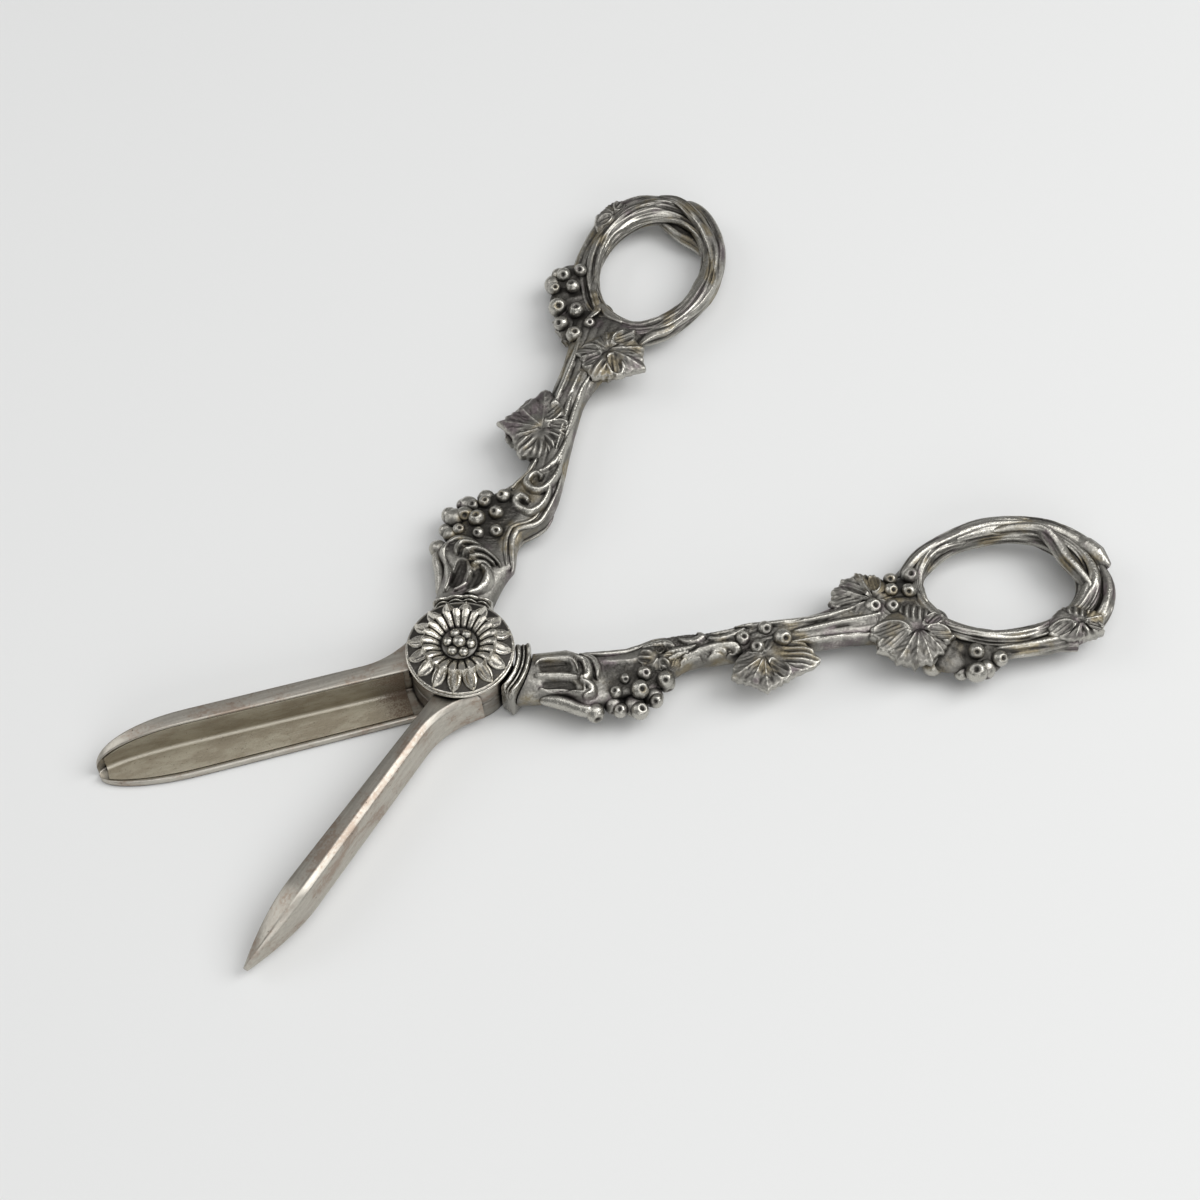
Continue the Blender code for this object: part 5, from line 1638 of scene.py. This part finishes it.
@dataclass
class GutterBlade(Blade):
    """The blade with a raised wall, a floor and a lip, lined with steel.

    The outer side, the gutter's face and the lip each have an offset at the shoulder and one where the
    point begins.
    """

    outer: Point = (-2.9, -4.3)
    face: Point = (0.2, -1.6)
    lip: Point = (6.0, 4.8)
    tip_offset: float = -0.5
    tip_height: float = 2.4
    wall_top: float = 7.7
    floor: float = 0.6
    lip_top: float = 1.35
    lip_width: float = 0.9
    liner: float = 0.4
    gap: float = 0.15
    rebate: float = 0.5
    liner_from: float = 10.2
    liner_to: float = 61.9
    liner_stations: int = 150
    bend_reach: float = 0.55
    bend_middle: float = 0.16
    edge_radius: float = 0.34
    sheet_radius: float = 0.12
    lap_clearance: float = 0.02
    burr_room: float = 4.6
    burr_depth: float = 1.4

    def edges(self, s: Array) -> tuple[Array, Array, Array, Array, Array]:
        """Outer wall, gutter face, lip, wall top and lip width along the blade."""
        share = self.share(s)
        outer = self.taper(self.outer, s) - self.root(s)
        face = self.taper(self.face, s)
        lip = self.taper(self.lip, s)
        tip, wide = self.tip_offset, self.tip_half_width
        outer = outer + (tip - wide - outer) * share
        face = face + (tip - wide / 3 - face) * share
        lip = lip + (tip + wide - lip) * share
        top = self.wall_top + (self.tip_height - self.wall_top) * share
        return outer, face, lip, top, self.lip_width + (wide / 2 - self.lip_width) * share

    def body(self) -> Shell:
        """Wall, floor and lip."""
        s = self.along()
        outer, face, lip, top, width = self.edges(s)
        wall = face - (self.liner + self.gap) * (1.0 - self.share(s))
        corners = (
            (outer, 0.0), (lip, 0.0), (lip, self.lip_top), (lip - width, self.lip_top),
            (lip - width, self.floor), (wall, self.floor), (wall, top - self.rebate),
            (face, top - self.rebate), (face, top), (outer, top),
        )
        return self.loft(s, corners, self.edge_radius)

    def lining(self) -> Shell:
        """Bent sheet on the wall and floor, with a rounded bend between them."""
        s = np.linspace(self.liner_from, self.liner_to, self.liner_stations)
        _, face, lip, top, width = self.edges(s)
        back = face - self.liner * (1.0 - self.share(s))
        front = back + self.liner
        bottom = self.floor + self.gap
        edge = lip - width - self.gap
        rim = top - self.rebate - self.gap
        low, reach, middle = bottom + self.liner, self.bend_reach, self.bend_middle
        corners = (
            (back, bottom), (edge, bottom), (edge, low), (front + reach, low),
            (front + middle, low + middle), (front, low + reach), (front, rim), (back, rim),
        )
        shell = self.loft(s, corners, self.sheet_radius)
        # The stored value paints a pale line along the rounded bend of the sheet.
        local_face = np.interp(shell.points[:, 0], s, front)
        across = hump(shell.points[:, 1] - local_face - 0.25, 0.35)
        shell.tarnish_and_painted_shade = 0.85 * across * hump(shell.points[:, 2] - bottom - 0.6, 0.4)
        return shell

    def painted_shade(self, points: Array) -> Array:
        """Painted shade: the lug's barrel is darkened as if in shade, and a painted shadow runs along the
        top of the wall's inner edge.
        """
        # Painted shade on the round side of the lug.
        barrel = self.barrel(points) * smooth_step(-0.5, 0.6, points[:, 2])
        _, face, _, top, _ = self.edges(points[:, 0])
        # Painted shadow along the top of the wall's inner edge, away from the pivot.
        edge_shadow = hump(points[:, 1] - face, 0.16) * hump(points[:, 2] - top, 0.2)
        edge_shadow = edge_shadow * (points[:, 0] > self.painted_shade_from)
        return np.clip(0.55 * barrel + 0.5 * edge_shadow, 0.0, 1.0)

    def build(self, silver: SatinSilver, steel: OldSteel) -> None:
        """Make the blade and its lining."""
        angle = PIVOT.blade_a_angle
        top = PIVOT.lap_plane - PIVOT.lap_gap / 2
        room = drum(PIVOT.shoulder_radius, top + self.lap_clearance, self.above)
        lug = drum(PIVOT.lug_radius, 0.0, top, self.lug_chamfer)
        bore = drum(PIVOT.bore_radius, self.below, PIVOT.lap_thickness)
        recess = drum(self.burr_room, self.below, self.burr_depth)
        mesh = forged(self.body(), room, [lug, self.tang(Half.GUTTER, angle)], [bore, recess])
        self.settle(mesh, self.painted_shade, angle)
        piece = Piece("gutter_blade", Half.GUTTER, "blade_a", "blade_silver", 40.0)
        piece.dress(mesh, silver.material("satin_gutter_blade"))
        lining = self.lining().placed(spin(angle), 0.0)
        piece = Piece("gutter_lining", Half.GUTTER, "gutter_liner", "old_steel", 50.0)
        piece.dress(mesh_of("gutter_lining", [lining]), steel.material("old_lining"))


@dataclass
class NestingBlade(Blade):
    """The blade that closes into the gutter: a bar with a wide inner bevel and a ridge.

    Its inner face has an offset at the shoulder and one where the point begins.
    """

    start: float = 49.0
    inner: Point = (0.3, -1.0)
    bottom: float = 1.7
    ridge_top: float = 8.6
    edge_top: float = 7.9
    inner_top: float = 7.7
    outer: float = 3.2
    draft: float = 0.45
    ridge_inset: float = 1.1
    tip_offset: float = 0.1
    tip_height: float = 3.2
    tip_half_width: float = 0.4
    tip_power: float = 1.7
    edge_radius: float = 0.26

    def share(self, s: Array) -> Array:
        """How far an edge has run to the sharp point, along a power of the distance."""
        return np.clip((s - self.start) / (self.length - self.start), 0.0, 1.0) ** self.tip_power

    def edges(self, s: Array) -> tuple[Array, Array, Array, Array]:
        """Inner face, outer edge, ridge and drop of the top along the blade."""
        share = self.share(s)
        wide = self.tip_half_width
        inner = self.taper(self.inner, s)
        inner = inner + (self.tip_offset - wide - inner) * share
        outer = self.outer + self.root(s)
        outer = outer + (self.tip_offset + wide - outer) * share
        ridge = outer - (self.ridge_inset + (wide - self.ridge_inset) * share)
        return inner, outer, ridge, (self.ridge_top - self.tip_height) * share

    def body(self) -> Shell:
        """Five-sided bar that thins to its point."""
        s = self.along()
        inner, outer, ridge, drop = self.edges(s)
        foot = outer + self.draft * (1.0 - self.share(s))
        corners = ((inner, self.bottom), (foot, self.bottom), (outer, self.edge_top - drop),
                   (ridge, self.ridge_top - drop), (inner, self.inner_top - drop))
        return self.loft(s, corners, self.edge_radius)

    def painted_shade(self, points: Array) -> Array:
        """Painted shade: the lug's barrel is darkened as if in shade, and the inner bevel carries a painted
        dark reflection, lighter towards its ridge.
        """
        # Painted shade on the round side of the lug, fading out near its top.
        barrel = self.barrel(points) * (1 - smooth_step(8.0, 9.0, points[:, 2]))
        inner, _, ridge, drop = self.edges(points[:, 0])
        # Painted dark reflection on the inner bevel, fading towards the ridge.
        on_top = smooth_step(-1.6, -0.9, points[:, 2] + drop - self.edge_top + 0.6)
        place = (points[:, 1] - inner) / np.maximum(ridge - inner, 0.2)
        bevel_reflection = on_top * (1 - smooth_step(0.7, 1.0, place)) * (points[:, 0] > self.painted_shade_from)
        return np.clip(0.55 * barrel + 0.30 * bevel_reflection, 0.0, 1.0)

    def build(self, silver: SatinSilver) -> None:
        """Make the blade."""
        angle = PIVOT.blade_b_angle
        low, top = PIVOT.lap_plane + PIVOT.lap_gap / 2, PIVOT.lap_thickness
        room = drum(PIVOT.shoulder_radius, self.below, low)
        lug = drum(PIVOT.lug_radius, low, top, self.lug_chamfer)
        bore = drum(PIVOT.bore_radius, self.below, self.above)
        mesh = forged(self.body(), room, [lug, self.tang(Half.NESTING, angle)], [bore])
        self.settle(mesh, self.painted_shade, angle)
        piece = Piece("nesting_blade", Half.NESTING, "blade_b", "blade_silver", 40.0)
        piece.dress(mesh, silver.material("satin_nesting_blade"))


@dataclass(frozen=True)
class Lamp:
    """One soft rectangular light, aimed at a point, with sizes in metres and power in watts."""

    name: str
    place: Point
    width: float
    height: float
    power: float
    aim: Point = (0.02, 0.0, 0.0)

    def light(self) -> None:
        """Put the lamp in the scene."""
        data = bpy.data.lights.new(self.name, "AREA")
        data.shape = "RECTANGLE"
        data.size, data.size_y, data.energy = self.width, self.height, self.power
        aim(link(self.name, data), self.place, self.aim)


@dataclass
class Studio:
    """Pale floor, dim sky, soft lamps and the camera of the photograph."""

    floor_colour: Colour = (0.80, 0.805, 0.80)
    floor_size: float = 3.0
    sky: float = 0.26
    lens: float = 60.0
    sensor: float = 36.0
    clip: Point = (0.01, 20.0)
    eye: Point = (-0.0944, -0.1510, 0.2993)
    aim: Point = (0.0286, -0.00265, 0.0)
    lamps: tuple[Lamp, ...] = (
        Lamp("key", (0.66, -0.40, 0.80), 0.75, 0.75, 6.6),
        Lamp("overhead", (0.02, -0.12, 1.10), 0.90, 0.90, 3.6),
        Lamp("fill", (-0.45, 0.60, 0.55), 0.60, 0.50, 1.4),
        Lamp("front", (-0.28, -0.66, 0.36), 0.60, 0.40, 1.2),
    )

    def floor(self) -> None:
        """Lay the floor at the back of the shears."""
        half = self.floor_size / 2
        mesh = bpy.data.meshes.new("floor")
        corners = [(-half, -half, 0.0), (half, -half, 0.0), (half, half, 0.0), (-half, half, 0.0)]
        mesh.from_pydata(corners, [], [(0, 1, 2, 3)])
        finish = Finish("pale_floor")
        finish.paint("Metallic", 0.0)
        finish.paint("Base Color", self.floor_colour)
        finish.paint("Roughness", 0.9)
        finish.paint("Specular IOR Level", 0.1)
        mesh.materials.append(finish.material)
        obj = link("floor", mesh)

    def world(self) -> None:
        """An even, dim sky."""
        world = bpy.data.worlds.new("studio_sky")
        world.use_nodes = True
        back = world.node_tree.nodes["Background"]
        back.inputs["Color"].default_value = (1.0, 1.0, 1.0, 1.0)
        back.inputs["Strength"].default_value = self.sky
        bpy.context.scene.world = world

    def camera(self) -> None:
        """Stand the camera where the photograph was taken."""
        data = bpy.data.cameras.new("photograph")
        data.lens, data.sensor_width = self.lens, self.sensor
        data.clip_start, data.clip_end = self.clip
        obj = link("photograph", data)
        aim(obj, self.eye, self.aim)
        bpy.context.scene.camera = obj

    def build(self) -> None:
        """Set up the floor, sky, lamps, camera and plain colour handling."""
        self.floor()
        self.world()
        for lamp in self.lamps:
            lamp.light()
        self.camera()
        bpy.context.scene.view_settings.view_transform = "Standard"


def main() -> None:
    """Dress the frame and light it."""
    logging.basicConfig(level=logging.INFO, format="%(name)s: %(message)s")
    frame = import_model()
    LOG.info("frame of %d nodes", len(frame["nodes"]))
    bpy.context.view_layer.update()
    vine = OxidisedSilver()
    rubbed = OxidisedSilver(reach=1.1, dark_below=0.22, bright_above=0.72, tarnish_share=0.7, smooth=0.17)
    for half, waist in ((Half.GUTTER, WAIST_A), (Half.NESTING, WAIST_B)):
        HandleCasting(half, waist).build(vine)
    Collars().build(rubbed)
    Flower().build(replace(rubbed, bright=(0.66, 0.63, 0.56), smooth=0.13), rubbed, DullBrass())
    GutterBlade().build(SatinSilver(PIVOT.blade_a_angle), OldSteel(PIVOT.blade_a_angle))
    NestingBlade().build(SatinSilver(PIVOT.blade_b_angle))
    Studio().build()
    bpy.context.view_layer.update()


if __name__ == "__main__":
    main()
